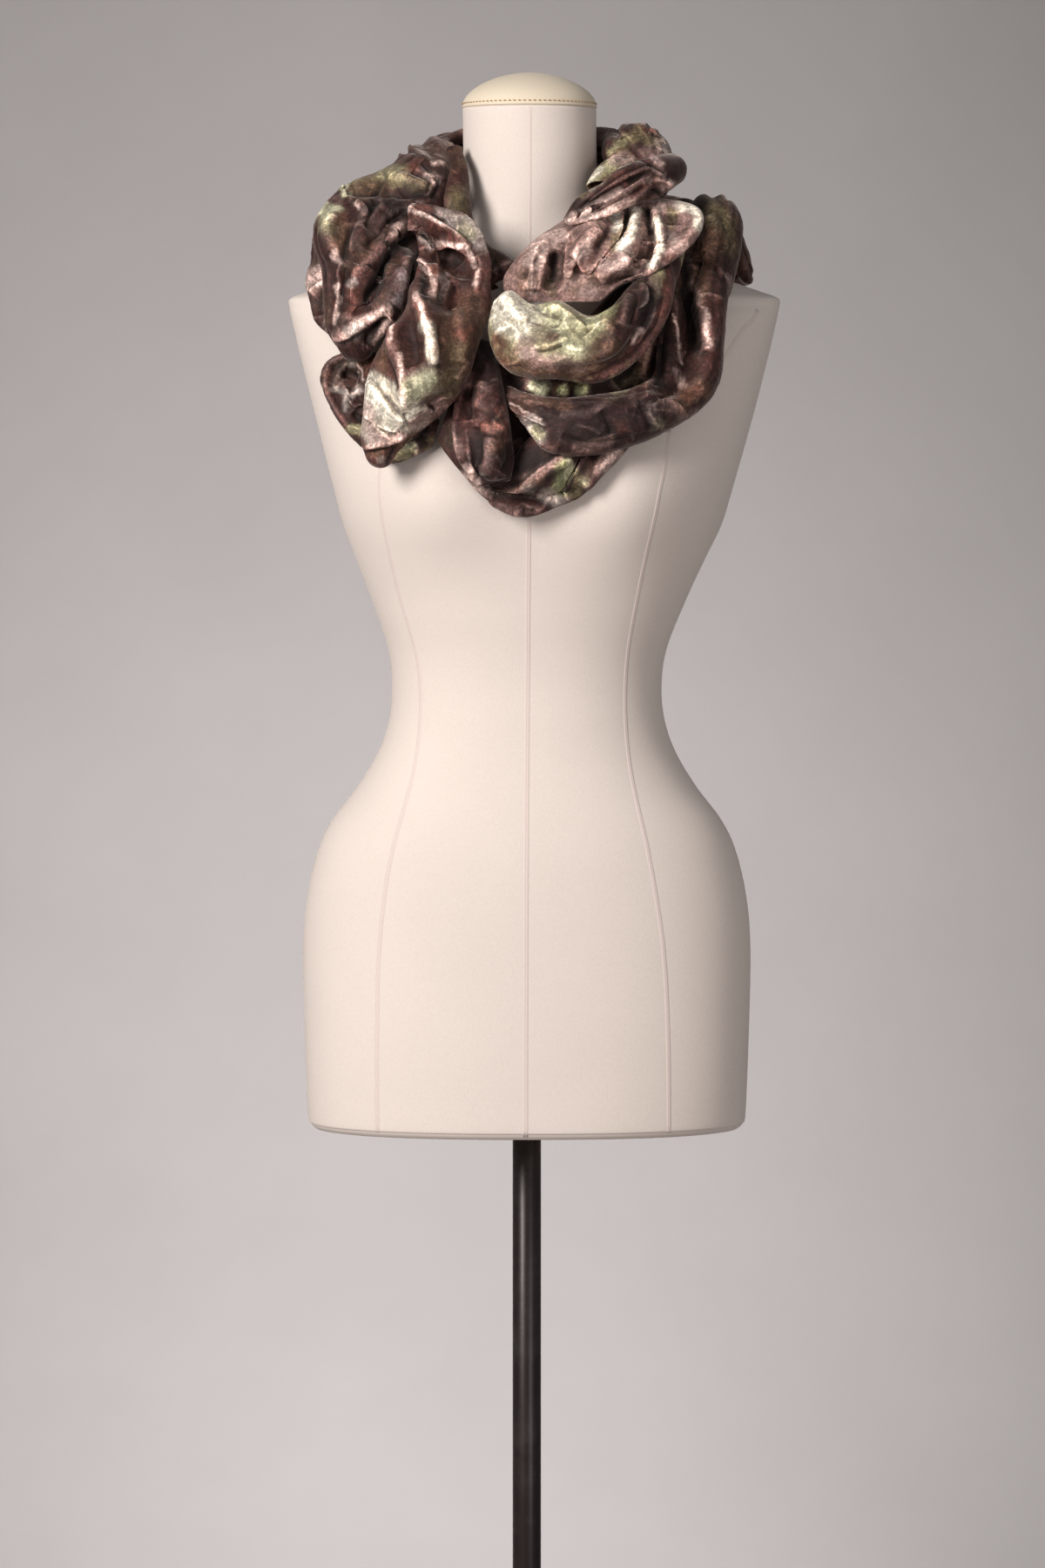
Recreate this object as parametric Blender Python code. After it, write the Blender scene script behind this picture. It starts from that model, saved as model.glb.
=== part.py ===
"""Velvet scarf wound round a limbless dress form on a pole stand.

Frame: metres, +Z up, the floor at z = 0, the pole on the Z axis, the form's front facing -Y.
The scarf is a doubled tube of velvet, wound twice and crossed at the front.  Each stretch of it
that shows is a cloth wall lofted between its two edges and curled under at both of them.
Tables are in millimetres; solids are built in metres.
"""
import math

import bpy
import numpy as np

MM = 0.001
GAP = 0.3 * MM                 # clearance between neighbouring solids

# ---- stand -------------------------------------------------------------------------------------
BASE_RADIUS = 165.0 * MM
BASE_THICK = 10.0 * MM
BASE_EDGE_LOW = 1.5 * MM       # bevel under the rim
BASE_EDGE_TOP = 3.0 * MM       # bevel above the rim
HUB_RADIUS = 19.0 * MM
HUB_TOP = 46.0 * MM
HUB_BEVEL = 2.0 * MM
HUB_FLARE = 6.0 * MM           # how far the foot of the hub spreads
HUB_FLARE_FOOT = 1.5 * MM
HUB_FLARE_TOP = 7.0 * MM
POLE_RADIUS = 11.5 * MM
POLE_FOOT = 12.0 * MM          # where the pole stands inside the hub
SOCKET_DEPTH = 60.0 * MM       # how far the pole goes up into the form

# ---- dress form --------------------------------------------------------------------------------
FORM_BOTTOM = 778.0 * MM
NECK_TOP = 1597.0 * MM
CAP_HEIGHT = 28.5 * MM
CAP_EDGE = 2.0 * MM            # height of the upright rim
CAP_BEVEL = 0.5 * MM
CAP_RADIUS = 54.0 * MM
CAP_SHIFT = 2.0 * MM           # the neck leans this far to +X
CAP_POWER = 1.8                # superellipse of the dome; 2 would be an ellipse
CAP_STEPS = 9
STAND_SIDES = 48
FORM_SIDES = 40
FORM_RINGS_PER_ROW = 2
BUST_OUT = 20.0                # millimetres, the same unit as the tables
BUST_X = 82.0
BUST_Z = 1288.0
BUST_REACH = 50.0

# Sections of the form, bottom to top: height, half width, depth to the front, depth to the back,
# how square the section is (2 is an ellipse) and its shift sideways.
FORM_ROWS = (
    # z, half width, front, back, square, shift
    (778.0, 171.0, 97.0, 117.0, 2.30, 0.0),
    (782.0, 175.0, 101.0, 121.0, 2.30, 0.0),
    (792.0, 177.0, 103.0, 123.0, 2.30, 0.0),
    (860.0, 179.5, 105.0, 127.0, 2.30, 0.0),
    (920.0, 180.5, 105.0, 130.0, 2.30, 0.0),
    (962.0, 177.5, 104.0, 127.0, 2.30, 0.0),
    (1000.0, 169.0, 102.0, 118.0, 2.30, 0.0),
    (1026.0, 157.0, 98.0, 107.0, 2.30, 0.0),
    (1054.0, 136.0, 92.0, 94.0, 2.30, 0.0),
    (1082.0, 119.5, 87.0, 83.0, 2.30, 0.0),
    (1108.0, 110.8, 84.0, 76.0, 2.30, 0.0),
    (1135.0, 108.5, 83.0, 73.0, 2.30, 0.0),
    (1164.0, 112.0, 87.0, 75.0, 2.30, 0.5),
    (1200.0, 125.0, 97.0, 81.0, 2.30, 1.5),
    (1236.0, 140.0, 108.0, 88.0, 2.35, 3.0),
    (1264.0, 152.0, 115.0, 92.0, 2.40, 4.5),
    (1292.0, 160.0, 118.0, 95.0, 2.45, 5.0),
    (1320.0, 167.5, 115.0, 97.0, 2.50, 5.5),
    (1360.0, 178.0, 104.0, 98.0, 2.50, 6.0),
    (1400.0, 188.0, 89.0, 95.0, 2.45, 6.0),
    (1428.0, 194.5, 76.0, 88.0, 2.40, 6.0),
    (1438.0, 196.6, 70.0, 84.0, 2.32, 6.0),
    (1443.5, 197.0, 67.4, 81.5, 2.28, 6.0),
    (1446.8, 193.0, 66.2, 80.3, 2.24, 6.0),
    (1450.5, 182.5, 65.0, 79.0, 2.18, 5.8),
    (1459.0, 158.5, 62.5, 75.0, 2.10, 5.0),
    (1469.0, 130.0, 60.0, 71.0, 2.00, 4.5),
    (1481.0, 97.0, 58.0, 66.0, 2.00, 4.0),
    (1494.0, 72.0, 56.0, 61.0, 2.00, 3.5),
    (1508.0, 59.5, 54.5, 57.0, 2.00, 3.0),
    (1524.0, 54.5, 53.5, 54.5, 2.00, 3.0),
    (1560.0, 53.5, 53.0, 53.5, 2.00, 2.5),
    (1597.0, 53.5, 53.0, 53.0, 2.00, 2.0),
)


def smooth_rows(rows, place):
    """Catmull-Rom curve through the rows of a table; place counts rows and may be fractional."""
    rows = np.asarray(rows, dtype=float)
    last = len(rows) - 1
    place = np.clip(np.asarray(place, dtype=float), 0.0, last)
    k = np.minimum(place.astype(int), last - 1)
    f = (place - k)[:, None]
    before = rows[np.maximum(k - 1, 0)]
    here = rows[k]
    after = rows[k + 1]
    beyond = rows[np.minimum(k + 2, last)]
    slope_here = 0.5 * (after - before)
    slope_after = 0.5 * (beyond - here)
    return (here * (1 + 2 * f) * (1 - f) ** 2 + slope_here * f * (1 - f) ** 2
            + after * f * f * (3 - 2 * f) + slope_after * f * f * (f - 1))


def form_ring(row, angles):
    """One section of the form: a superellipse with its own front and back depth, plus the bust."""
    z, half_width, front, back, square, shift = row
    c = np.cos(angles)
    s = np.sin(angles)
    power = 2.0 / square
    x = half_width * np.sign(c) * np.abs(c) ** power
    y = np.where(s < 0.0, front, back) * np.sign(s) * np.abs(s) ** power
    side = np.exp(-((np.abs(x) - BUST_X) / BUST_REACH) ** 2)
    height = math.exp(-((z - BUST_Z) / BUST_REACH) ** 2)
    y = y - BUST_OUT * side * height * np.clip(-s, 0.0, 1.0)
    return np.column_stack((x + shift, y, np.full_like(x, z)))


# ---- scarf -------------------------------------------------------------------------------------
CLOTH = 2.0 * MM               # two plies of velvet lying together
EDGE_ROLL = 5.0                # millimetres: radius of the rolled edges
CURL_POINTS = ((0.35, 0.95), (1.9, 1.05))   # the curl, in rolls: back from the edge, behind it
ROLL_CLEAR = 1.5               # millimetres kept free between the two curls of a narrow section
FOLD_STEPS = 8                 # points along the line of one fold
FACING_GAIN = 1.4              # a fold is at its full height where the cloth nearly faces its side
SIDES = {"front": ((0, 2), (0.0, -1.0, 0.0)), "back": ((0, 2), (0.0, 1.0, 0.0))}
SHARP_ANGLE = math.radians(50.0)

# Finishes: colour, roughness, metallic, sheen; a stretch of velvet brings its own colour.
PLATE_FINISH = ((0.03, 0.025, 0.023), 0.4, 0.7, 0.0)
POLE_FINISH = ((0.035, 0.026, 0.024), 0.35, 0.8, 0.0)
JERSEY_FINISH = ((0.80, 0.70, 0.62), 0.85, 0.0, 0.0)
CAP_FINISH = ((0.78, 0.66, 0.52), 0.5, 0.0, 0.0)
VELVET_FINISH = (0.5, 0.0, 1.0)

# One entry for each stretch: name, colour, stations along it, steps over its front, then its
# sections and its folds.
# A section gives its first edge x, y, z, its second edge x, y, z, and the loft: how far the cloth
# bulges out between them.
# A fold gives the side it is laid out from, the start, middle and end of its line there (x and z
# of each), its width, and its height; a trough is below zero.
STRETCHES = (
    # pale layer on the chest, seen between the front bands
    ("inner_front_layer", (0.2, 0.17, 0.09), 7, 6, (
        (-51.1, -124, 1332.3, -46, -90, 1412.7, 7),
        (-8.9, -127, 1314.5, -3.4, -97, 1402.3, 8),
        (25.2, -122, 1333.6, 38, -95, 1420, 8),
        (67.8, -107, 1363.8, 72, -88, 1452, 8),
        (103, -97, 1383, 101, -80, 1460, 7),
    ), ()),
    # lowest loop at the middle of the chest
    ("bottom_loop", (0.13, 0.1, 0.06), 12, 8, (
        (-70.1, -131, 1330.2, -57.9, -128, 1364.3, 7),
        (-53.1, -135, 1307.8, -40.2, -131, 1345.9, 8),
        (-37.4, -135, 1289.4, -26.5, -133, 1320, 10),
        (-18.4, -134, 1275.8, -13.6, -135, 1316, 14),
        (0.7, -133, 1271, 3, -137, 1334, 15),
        (23.8, -136, 1279.2, 21, -137, 1342, 15),
        (42.8, -137, 1288, 38, -134, 1341, 13),
        (64.6, -134, 1308.4, 57.9, -126, 1341.8, 10),
        (79.8, -126, 1325.5, 77.1, -119, 1348.7, 7),
    ), (
        ("front", -36, 1289, -3, 1289, 24, 1281, 8, -9),
        ("front", 48, 1320, 40, 1303, 32, 1282, 8, -9),
    )),
    # dark drape that hangs down the middle
    ("centre_drape", (0.06, 0.02, 0.018), 9, 8, (
        (-51.3, -109.8, 1407.6, -27.4, -103.8, 1404.9, 7),
        (-49.7, -130, 1384.7, -21.8, -122, 1382.8, 9),
        (-55.8, -142, 1364.8, -17, -136, 1362.2, 12),
        (-58.3, -150, 1343.7, -13.6, -147, 1345.8, 14),
        (-56.9, -153, 1326.8, -11.5, -150, 1330.2, 15),
        (-50.1, -154, 1309.8, -10.2, -152, 1313.2, 14),
        (-38.6, -155, 1295.6, -12.9, -153, 1300.3, 9),
    ), (
        ("front", -44, 1381, -50, 1347, -41, 1303, 9, -7),
        ("front", -29, 1388, -25, 1354, -26, 1306, 9, 7),
    )),
    # outer band from the right shoulder down and round to the middle
    ("outer_right_band", (0.045, 0.02, 0.02), 18, 8, (
        (121, 33.3, 1524, 181, 33.3, 1460, 17),
        (121, 23, 1524, 181, 23, 1461, 17),
        (123, 9, 1513, 176, 9, 1481, 17),
        (125, -10, 1511.4, 170.4, -12, 1505.7, 20),
        (129.8, -40, 1499.1, 172.4, -34, 1495.2, 22),
        (120, -65, 1470, 167.6, -52, 1468.9, 20),
        (109, -88, 1438, 157.4, -66, 1437.4, 22),
        (103, -108, 1408, 152.3, -74, 1406.2, 25),
        (100.3, -122, 1384.8, 147.7, -88, 1376.3, 26),
        (88.5, -132, 1374.5, 132.1, -106, 1353.5, 26),
        (68, -140, 1368.3, 95.2, -136, 1331.6, 24),
        (40.7, -145, 1364.1, 52.1, -157, 1320, 20),
        (17, -146, 1364.1, 18.3, -157, 1322, 16),
        (-0.7, -141, 1368.2, 0.7, -148, 1339.7, 11),
        (-14.1, -132, 1373.8, -11.4, -136, 1358.8, 7),
    ), (
        ("front", 128, 1481, 128, 1423, 124, 1377, 12, -20),
        ("front", 144, 1457, 144, 1416, 139, 1382, 11, 7),
        ("front", 111, 1412, 113, 1388, 107, 1371, 8, -9),
    )),
    # pale band across the front of the neck, up to the right
    ("front_band", (0.3, 0.27, 0.17), 14, 8, (
        (-8.9, -114, 1396.5, -10.3, -110, 1434.9, 7),
        (-16.3, -132, 1393.5, -19.1, -128, 1439.2, 11),
        (-10.2, -144, 1383.1, -12.9, -140, 1447.8, 20),
        (6.8, -149, 1379, 4.8, -145, 1436.8, 28),
        (27.1, -150, 1378.3, 25.1, -146, 1439.5, 31),
        (47.5, -149, 1375.6, 47.5, -145, 1427.9, 30),
        (67.9, -146, 1381.1, 65.9, -141, 1435.5, 27),
        (87, -139, 1396.1, 79.7, -130, 1450.8, 25),
        (102.9, -126, 1418.2, 93, -111, 1465, 22),
        (113.6, -108, 1444.5, 100.2, -93, 1477.9, 16),
        (120.8, -92, 1465.6, 108.1, -79, 1493.5, 10),
        (124.6, -80, 1481.1, 113.8, -69, 1503.5, 7),
    ), (
        ("front", 34, 1380, 73, 1389, 97, 1427, 8, -9),
        ("front", -10, 1420, 14, 1427, 34, 1420, 9, -6),
    )),
    # fan of folds that spreads from the twist
    ("right_fan", (0.26, 0.17, 0.16), 10, 14, (
        (64, -70, 1524.5, 100, -68, 1520.5, 7),
        (46, -76, 1515, 125.5, -73, 1517, 9),
        (29, -80, 1502.5, 138.1, -90, 1509.6, 15),
        (11, -90, 1489, 135.6, -105, 1494.6, 22),
        (-3.4, -101, 1475.6, 120.8, -121, 1478.3, 26),
        (-13.7, -109, 1465, 100.1, -132, 1465, 20),
        (-18.4, -115, 1455.3, 72.9, -131, 1452.8, 14),
        (-15.7, -118, 1439.5, 57.9, -126, 1439.3, 8),
    ), (
        ("front", 31, 1496, 18, 1472, 20, 1449, 11, -12),
        ("front", 73, 1507, 62, 1477, 43, 1458, 11, -12),
        ("front", 94, 1513, 98, 1488, 80, 1458, 9, -13),
        ("front", 111, 1514, 114, 1496, 99, 1470, 9, -10),
    )),
    # gathered turn of the twist
    ("twist_wrap", (0.14, 0.08, 0.075), 10, 10, (
        (35.6, -108, 1499.3, 30.8, -103, 1507, 5),
        (47.1, -118, 1503.7, 40.4, -109, 1521.1, 7),
        (66.2, -120, 1509.1, 58.2, -107, 1531.5, 11),
        (86.8, -113, 1517.5, 74.8, -95, 1545.1, 13),
        (106.5, -89, 1524.7, 94.5, -72, 1552.4, 15),
        (118.8, -58, 1533, 109.4, -45, 1557.2, 13),
        (119.6, -32, 1536.9, 111.4, -27, 1556.7, 9),
    ), (
        ("front", 41, 1507, 69, 1526, 101, 1543, 7, -7),
        ("front", 52, 1504, 76, 1518, 107, 1532, 7, -6),
    )),
    # loop at the right of the neck, inside the back band
    ("right_neck_loop", (0.17, 0.12, 0.09), 7, 8, (
        (74, 20, 1562, 100, 20, 1560, 12),
        (72, -12, 1560, 107.4, -14, 1554, 15),
        (55, -36, 1547, 109, -36, 1534, 17),
        (47, -53, 1534, 104, -50, 1520, 11),
    ), (
        ("front", 66, 1563, 84, 1571, 102, 1563, 7, -6),
    )),
    # upper turn round the back of the neck
    ("neck_back_band", (0.06, 0.03, 0.028), 12, 8, (
        (-64, 34, 1574, -100, 40, 1533, 17),
        (-60, 46, 1579, -94, 56, 1532, 18),
        (-40, 60, 1585, -68, 79.6, 1530, 20),
        (0, 62, 1582, 0, 86, 1527, 21),
        (42, 56, 1582, 76, 72, 1532, 22),
        (60, 28, 1575, 108, 36, 1543, 25),
        (60, -8, 1560, 115, -10, 1552, 29),
    ), (
        ("back", -70, 1560, -10, 1552, 60, 1562, 9, -7),
        ("back", -30, 1540, 10, 1536, 80, 1548, 8, -5),
    )),
    # lower turn round the back of the shoulders
    ("shoulder_back_band", (0.05, 0.025, 0.022), 14, 8, (
        (-108, 30, 1520, -172, 28, 1466, 18),
        (-108, 42, 1521, -170, 44, 1462, 20),
        (-94, 66, 1527, -152, 78, 1450, 22),
        (-54, 91, 1534, -94, 105, 1438, 24),
        (0, 100, 1537, 0, 106, 1434, 25),
        (56, 92, 1536, 94, 106, 1440, 25),
        (98, 70, 1532, 150, 82, 1450, 23),
        (118, 46, 1526, 178, 50, 1458, 19),
        (121, 34, 1524, 181, 34, 1460, 17),
    ), (
        ("back", -130, 1500, -40, 1478, 60, 1496, 11, -9),
        ("back", -60, 1458, 20, 1452, 120, 1476, 10, -8),
        ("back", -10, 1516, 60, 1512, 120, 1502, 9, 6),
    )),
    # broad swirl that comes forward over the left shoulder
    ("left_swirl", (0.08, 0.042, 0.034), 16, 12, (
        (-100.3, 39.2, 1533, -64.3, 33.2, 1574, 17),
        (-105, 26, 1530, -63, 20, 1570, 19),
        (-110, 10, 1528, -57, 0, 1564, 23),
        (-104.9, -6, 1540.9, -58.2, -48, 1519.6, 30),
        (-125.9, -4, 1531.2, -76.5, -76, 1492.2, 32),
        (-150.1, -14, 1519.6, -86.5, -94, 1479.2, 34),
        (-165.4, -36, 1496.5, -88.2, -110, 1467.1, 36),
        (-158.9, -62, 1461.6, -88.1, -118, 1451.1, 34),
        (-156.9, -82, 1432.8, -96.2, -122, 1436, 30),
        (-153.2, -90, 1413.4, -108.5, -120, 1422.4, 24),
        (-146.1, -96, 1403, -118.3, -112, 1408.9, 14),
        (-143, -86, 1404.6, -121.4, -98, 1410.5, 8),
    ), (
        ("front", -140, 1525, -142, 1489, -148, 1440, 12, -10),
        ("front", -105, 1502, -124, 1471, -138, 1430, 12, -12),
        ("front", -84, 1493, -108, 1478, -121, 1440, 12, -17),
        ("front", -122, 1538, -118, 1526, -122, 1508, 11, -10),
    )),
    # layer under the swirl on the left shoulder
    ("left_shoulder_layer", (0.12, 0.07, 0.065), 11, 8, (
        (-172, 27.3, 1466, -108, 29.3, 1520, 18),
        (-172, 17, 1467, -108, 18, 1520, 18),
        (-172, 4, 1479, -110, 4, 1513, 16),
        (-171.2, -8, 1490.5, -116.7, -8, 1494.7, 15),
        (-170.6, -26, 1476, -118.9, -32, 1473.7, 13),
        (-175.6, -42, 1460.2, -125.2, -56, 1454.9, 10),
        (-171.6, -54, 1437.7, -128.9, -73, 1435.8, 8),
        (-166.5, -64, 1423.6, -132.8, -83.4, 1419.7, 7),
        (-155.1, -72, 1413.8, -139.6, -85, 1408.7, 7),
    ), ()),
    # small loop low on the left
    ("left_lower_loop", (0.07, 0.035, 0.03), 12, 8, (
        (-147, -66, 1394.6, -117.6, -84, 1398.4, 7),
        (-159.3, -70, 1389, -114.5, -98, 1391.3, 11),
        (-161.3, -72, 1376.5, -112.9, -107, 1374.8, 15),
        (-153.5, -80, 1357.9, -111.4, -112, 1357.6, 16),
        (-142.2, -89, 1340.6, -107.2, -117, 1341.9, 14),
        (-128.1, -101, 1325.5, -100.3, -121, 1333.6, 11),
        (-108.7, -113, 1313.2, -90.7, -124, 1336.4, 9),
        (-90.8, -120, 1317.3, -79.8, -126, 1343.2, 8),
        (-74.4, -122, 1326.1, -68.9, -124, 1348.6, 7),
    ), (
        ("front", -142, 1389, -141, 1375, -133, 1354, 18, -16),
    )),
    # tongue that hangs forward on the left
    ("left_tongue", (0.12, 0.07, 0.052), 14, 12, (
        (-92.6, -98, 1515, -46, -104, 1505, 7),
        (-93, -103, 1508, -34, -110, 1490, 9),
        (-90, -108, 1500, -28.5, -116, 1470, 11),
        (-86.9, -110, 1491, -28.7, -121, 1453.2, 15),
        (-84.7, -116, 1476, -27.3, -126, 1438.7, 20),
        (-88.7, -122, 1453, -30, -130, 1427.6, 26),
        (-94.7, -130, 1432.4, -35.4, -136, 1413.9, 30),
        (-107.6, -132, 1413.9, -39.4, -141, 1400.2, 33),
        (-118.4, -133, 1394.9, -44.8, -144, 1381.8, 34),
        (-125.2, -134, 1374.4, -56.3, -147, 1362.7, 33),
        (-127.9, -136, 1350.6, -73.3, -148, 1346.5, 27),
        (-129.2, -138, 1331.6, -90.2, -147, 1332.9, 19),
        (-125.7, -139, 1320, -101.8, -144, 1320.7, 11),
        (-121.2, -130, 1315.9, -105.5, -134, 1318, 7),
    ), (
        ("front", -68, 1481, -51, 1466, -54, 1449, 20, -23),
        ("front", -84, 1446, -74, 1412, -76, 1381, 11, 12),
        ("front", -122, 1380, -108, 1364, -96, 1350, 8, -7),
        ("front", -104, 1418, -98, 1388, -96, 1357, 9, 7),
        ("front", -117, 1342, -95, 1334, -63, 1362, 8, -7),
    )),
    # fold between the swirl and the throat
    ("throat_fold", (0.12, 0.08, 0.05), 8, 6, (
        (-64, -27, 1562, -52, -30, 1564, 4),
        (-61.2, -44.6, 1549.2, -48, -43, 1551.2, 4),
        (-65, -64, 1526.6, -46.1, -50, 1534.9, 6),
        (-65.4, -78, 1512.8, -45, -59, 1521, 8),
        (-66, -87, 1497.3, -42, -69, 1503, 9),
        (-57, -95, 1479.2, -32, -78, 1484, 10),
        (-43.2, -100, 1462.6, -13.1, -82, 1474.1, 9),
        (-29.5, -103, 1450.1, 0.7, -88, 1462.9, 7),
    ), (
        ("front", -64, 1509, -45, 1498, -34, 1472, 8, -6),
    )),
)


# ---- build -------------------------------------------------------------------------------------
def unit(vectors):
    """The same vectors at length 1."""
    length = np.linalg.norm(vectors, axis=-1, keepdims=True)
    return vectors / np.maximum(length, 1e-9)


def section_points(half_width, loft, steps):
    """Control points across one section, as (distance along the width, distance outwards).

    The front is half an ellipse of the given half width and loft; at each edge the cloth curls
    under on a roll of radius EDGE_ROLL and comes back a little way behind itself.
    """
    roll = min(EDGE_ROLL, (half_width - ROLL_CLEAR) / CURL_POINTS[1][0])
    turn = np.linspace(-0.5 * math.pi, 0.5 * math.pi, steps + 1)
    front = np.column_stack((half_width * np.sin(turn), loft * np.cos(turn)))
    curl = np.array([(half_width - back * roll, -under * roll) for back, under in CURL_POINTS])
    return np.concatenate((curl[::-1] * (-1.0, 1.0), front, curl))


def stretch_surface(rows, stations, steps):
    """Grid of points (stations, points round the section, xyz) of one stretch of cloth.

    A station's middle runs between its two edges; the cloth bulges out from there along the
    direction that stands square to both the run of the stretch and the line between its edges.
    """
    table = smooth_rows(rows, np.linspace(0.0, len(rows) - 1, stations))
    edge_a = table[:, 0:3]
    edge_b = table[:, 3:6]
    loft = table[:, 6]
    middle = 0.5 * (edge_a + edge_b)
    half = 0.5 * np.linalg.norm(edge_b - edge_a, axis=1)
    across = unit(edge_b - edge_a)
    outward = unit(np.cross(np.gradient(middle, axis=0), across))
    sections = np.array([section_points(w, n, steps) for w, n in zip(half, loft)])
    return (middle[:, None] + sections[:, :, 0:1] * across[:, None]
            + sections[:, :, 1:2] * outward[:, None])


def fold_line(fold):
    """Points on the bent line of one fold, a parabola through its start, middle and end."""
    start, middle, end = np.array(fold[1:7], dtype=float).reshape(3, 2)
    t = np.linspace(0.0, 1.0, FOLD_STEPS)[:, None]
    control = 2.0 * middle - 0.5 * (start + end)
    return start * (1 - t) ** 2 + control * 2 * t * (1 - t) + end * t * t


def press_folds(points, folds):
    """Pushes the cloth in or out along its own normals, fold by fold, but not the curled edges.

    A fold's cross-section is a bell curve of the distance from its line, seen from its side.
    """
    normals = grid_normals(points)
    push = np.zeros(points.shape[:2])
    for fold in folds:
        plane, towards = SIDES[fold[0]]
        width, height = fold[7:]
        line = fold_line(fold)
        start, run = line[:-1], np.diff(line, axis=0)
        flat = points[..., None, :][..., plane] - start
        share = np.clip((flat * run).sum(-1) / (run * run).sum(-1), 0.0, 1.0)
        distance = np.linalg.norm(flat - share[..., None] * run, axis=-1).min(-1)
        facing = np.clip(FACING_GAIN * normals @ np.array(towards), 0.0, 1.0)
        push += height * np.exp(-(distance / width) ** 2) * facing
    push[:, :2] = 0.0
    push[:, -2:] = 0.0
    return points + normals * push[..., None]


def grid_normals(points):
    """Outward unit normals of a grid of points."""
    along = np.gradient(points, axis=0)
    round_section = np.gradient(points, axis=1)
    return unit(np.cross(along, round_section))


def material(name, colour, roughness, metallic, sheen):
    """A Principled material in one colour."""
    made = bpy.data.materials.new(name)
    made.use_nodes = True
    shader = made.node_tree.nodes["Principled BSDF"]
    shader.inputs["Base Color"].default_value = (*colour, 1.0)
    shader.inputs["Roughness"].default_value = roughness
    shader.inputs["Metallic"].default_value = metallic
    shader.inputs["Sheen Weight"].default_value = sheen
    return made


def add_solid(name, points, faces, finish):
    """One closed mesh object from points in metres."""
    mesh = bpy.data.meshes.new(name)
    mesh.from_pydata([tuple(p) for p in points], [], faces)
    mesh.validate()
    mesh.materials.append(finish)
    mesh.shade_smooth()
    mesh.set_sharp_from_angle(angle=SHARP_ANGLE)
    made = bpy.data.objects.new(name, mesh)
    bpy.context.collection.objects.link(made)
    return made


def tube_faces(ring_count, ring_size, flip=False):
    """Quads between rings of points stacked one after another."""
    faces = []
    for r in range(ring_count - 1):
        for k in range(ring_size):
            a = r * ring_size + k
            b = r * ring_size + (k + 1) % ring_size
            quad = (a, b, b + ring_size, a + ring_size)
            faces.append(quad[::-1] if flip else quad)
    return faces


def turned_solid(name, profile, sides, finish):
    """A solid of revolution; profile runs from the axis at the underside out and up to the axis."""
    points = []
    for radius, height in profile[1:-1]:
        for k in range(sides):
            angle = 2.0 * math.pi * k / sides
            points.append((radius * math.cos(angle), radius * math.sin(angle), height))
    rings = len(profile) - 2
    faces = tube_faces(rings, sides)
    foot = len(points)
    points.append((0.0, 0.0, profile[0][1]))
    points.append((0.0, 0.0, profile[-1][1]))
    top_ring = (rings - 1) * sides
    for k in range(sides):
        after = (k + 1) % sides
        faces.append((foot, after, k))
        faces.append((foot + 1, top_ring + k, top_ring + after))
    return add_solid(name, points, faces, finish)


def cloth_wall(name, stations, steps, sections, folds, finish):
    """One stretch of the scarf as a wall CLOTH thick, open at both ends and along its back."""
    outer = press_folds(stretch_surface(sections, stations, steps), folds) * MM
    inner = outer - grid_normals(outer) * CLOTH
    long, round_count = outer.shape[:2]
    size = long * round_count
    faces = []
    for i in range(long - 1):
        for j in range(round_count - 1):
            a = i * round_count + j
            b = a + round_count
            faces.append((a, b, b + 1, a + 1))
            faces.append((size + a, size + a + 1, size + b + 1, size + b))
    for j in range(round_count - 1):
        end = (long - 1) * round_count
        faces.append((j, j + 1, size + j + 1, size + j))
        faces.append((end + j, size + end + j, size + end + j + 1, end + j + 1))
    for i in range(long - 1):
        a = i * round_count
        b = a + round_count
        c = a + round_count - 1
        d = b + round_count - 1
        faces.append((a, size + a, size + b, b))
        faces.append((c, d, size + d, size + c))
    points = np.concatenate((outer.reshape(-1, 3), inner.reshape(-1, 3)))
    return add_solid(name, points, faces, finish)


def dress_form(finish):
    """The limbless form: rings from the underside to the neck, with a socket for the pole."""
    angles = np.linspace(0.0, 2.0 * math.pi, FORM_SIDES, endpoint=False)
    count = (len(FORM_ROWS) - 1) * FORM_RINGS_PER_ROW + 1
    rings = [form_ring(row, angles) * MM
             for row in smooth_rows(FORM_ROWS, np.linspace(0.0, len(FORM_ROWS) - 1, count))]
    bore = POLE_RADIUS + GAP
    mouth = np.column_stack((bore * np.cos(angles), bore * np.sin(angles),
                             np.full(FORM_SIDES, FORM_BOTTOM)))
    roof = mouth + np.array((0.0, 0.0, SOCKET_DEPTH))
    rings = [roof, mouth] + rings
    points = np.concatenate(rings + [np.array([roof.mean(axis=0), rings[-1].mean(axis=0)])])
    faces = tube_faces(len(rings), FORM_SIDES)
    roof_middle = len(points) - 2
    neck_middle = len(points) - 1
    last = (len(rings) - 1) * FORM_SIDES
    for k in range(FORM_SIDES):
        after = (k + 1) % FORM_SIDES
        faces.append((roof_middle, after, k))
        faces.append((neck_middle, last + k, last + after))
    return add_solid("form_body", points, faces, finish)


def neck_cap(finish):
    """The domed cap on the neck: a flat underside, a thin edge and a superellipse dome."""
    foot = NECK_TOP + GAP
    profile = [(0.0, foot), (CAP_RADIUS - CAP_BEVEL, foot), (CAP_RADIUS, foot + CAP_BEVEL)]
    for step in range(CAP_STEPS):
        turn = 0.5 * math.pi * step / CAP_STEPS
        radius = CAP_RADIUS * math.cos(turn) ** (2.0 / CAP_POWER)
        rise = (CAP_HEIGHT - CAP_EDGE) * math.sin(turn) ** (2.0 / CAP_POWER)
        profile.append((radius, foot + CAP_EDGE + rise))
    profile.append((0.0, foot + CAP_HEIGHT))
    made = turned_solid("neck_cap", profile, FORM_SIDES, finish)
    made.location.x = CAP_SHIFT
    return made


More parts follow.
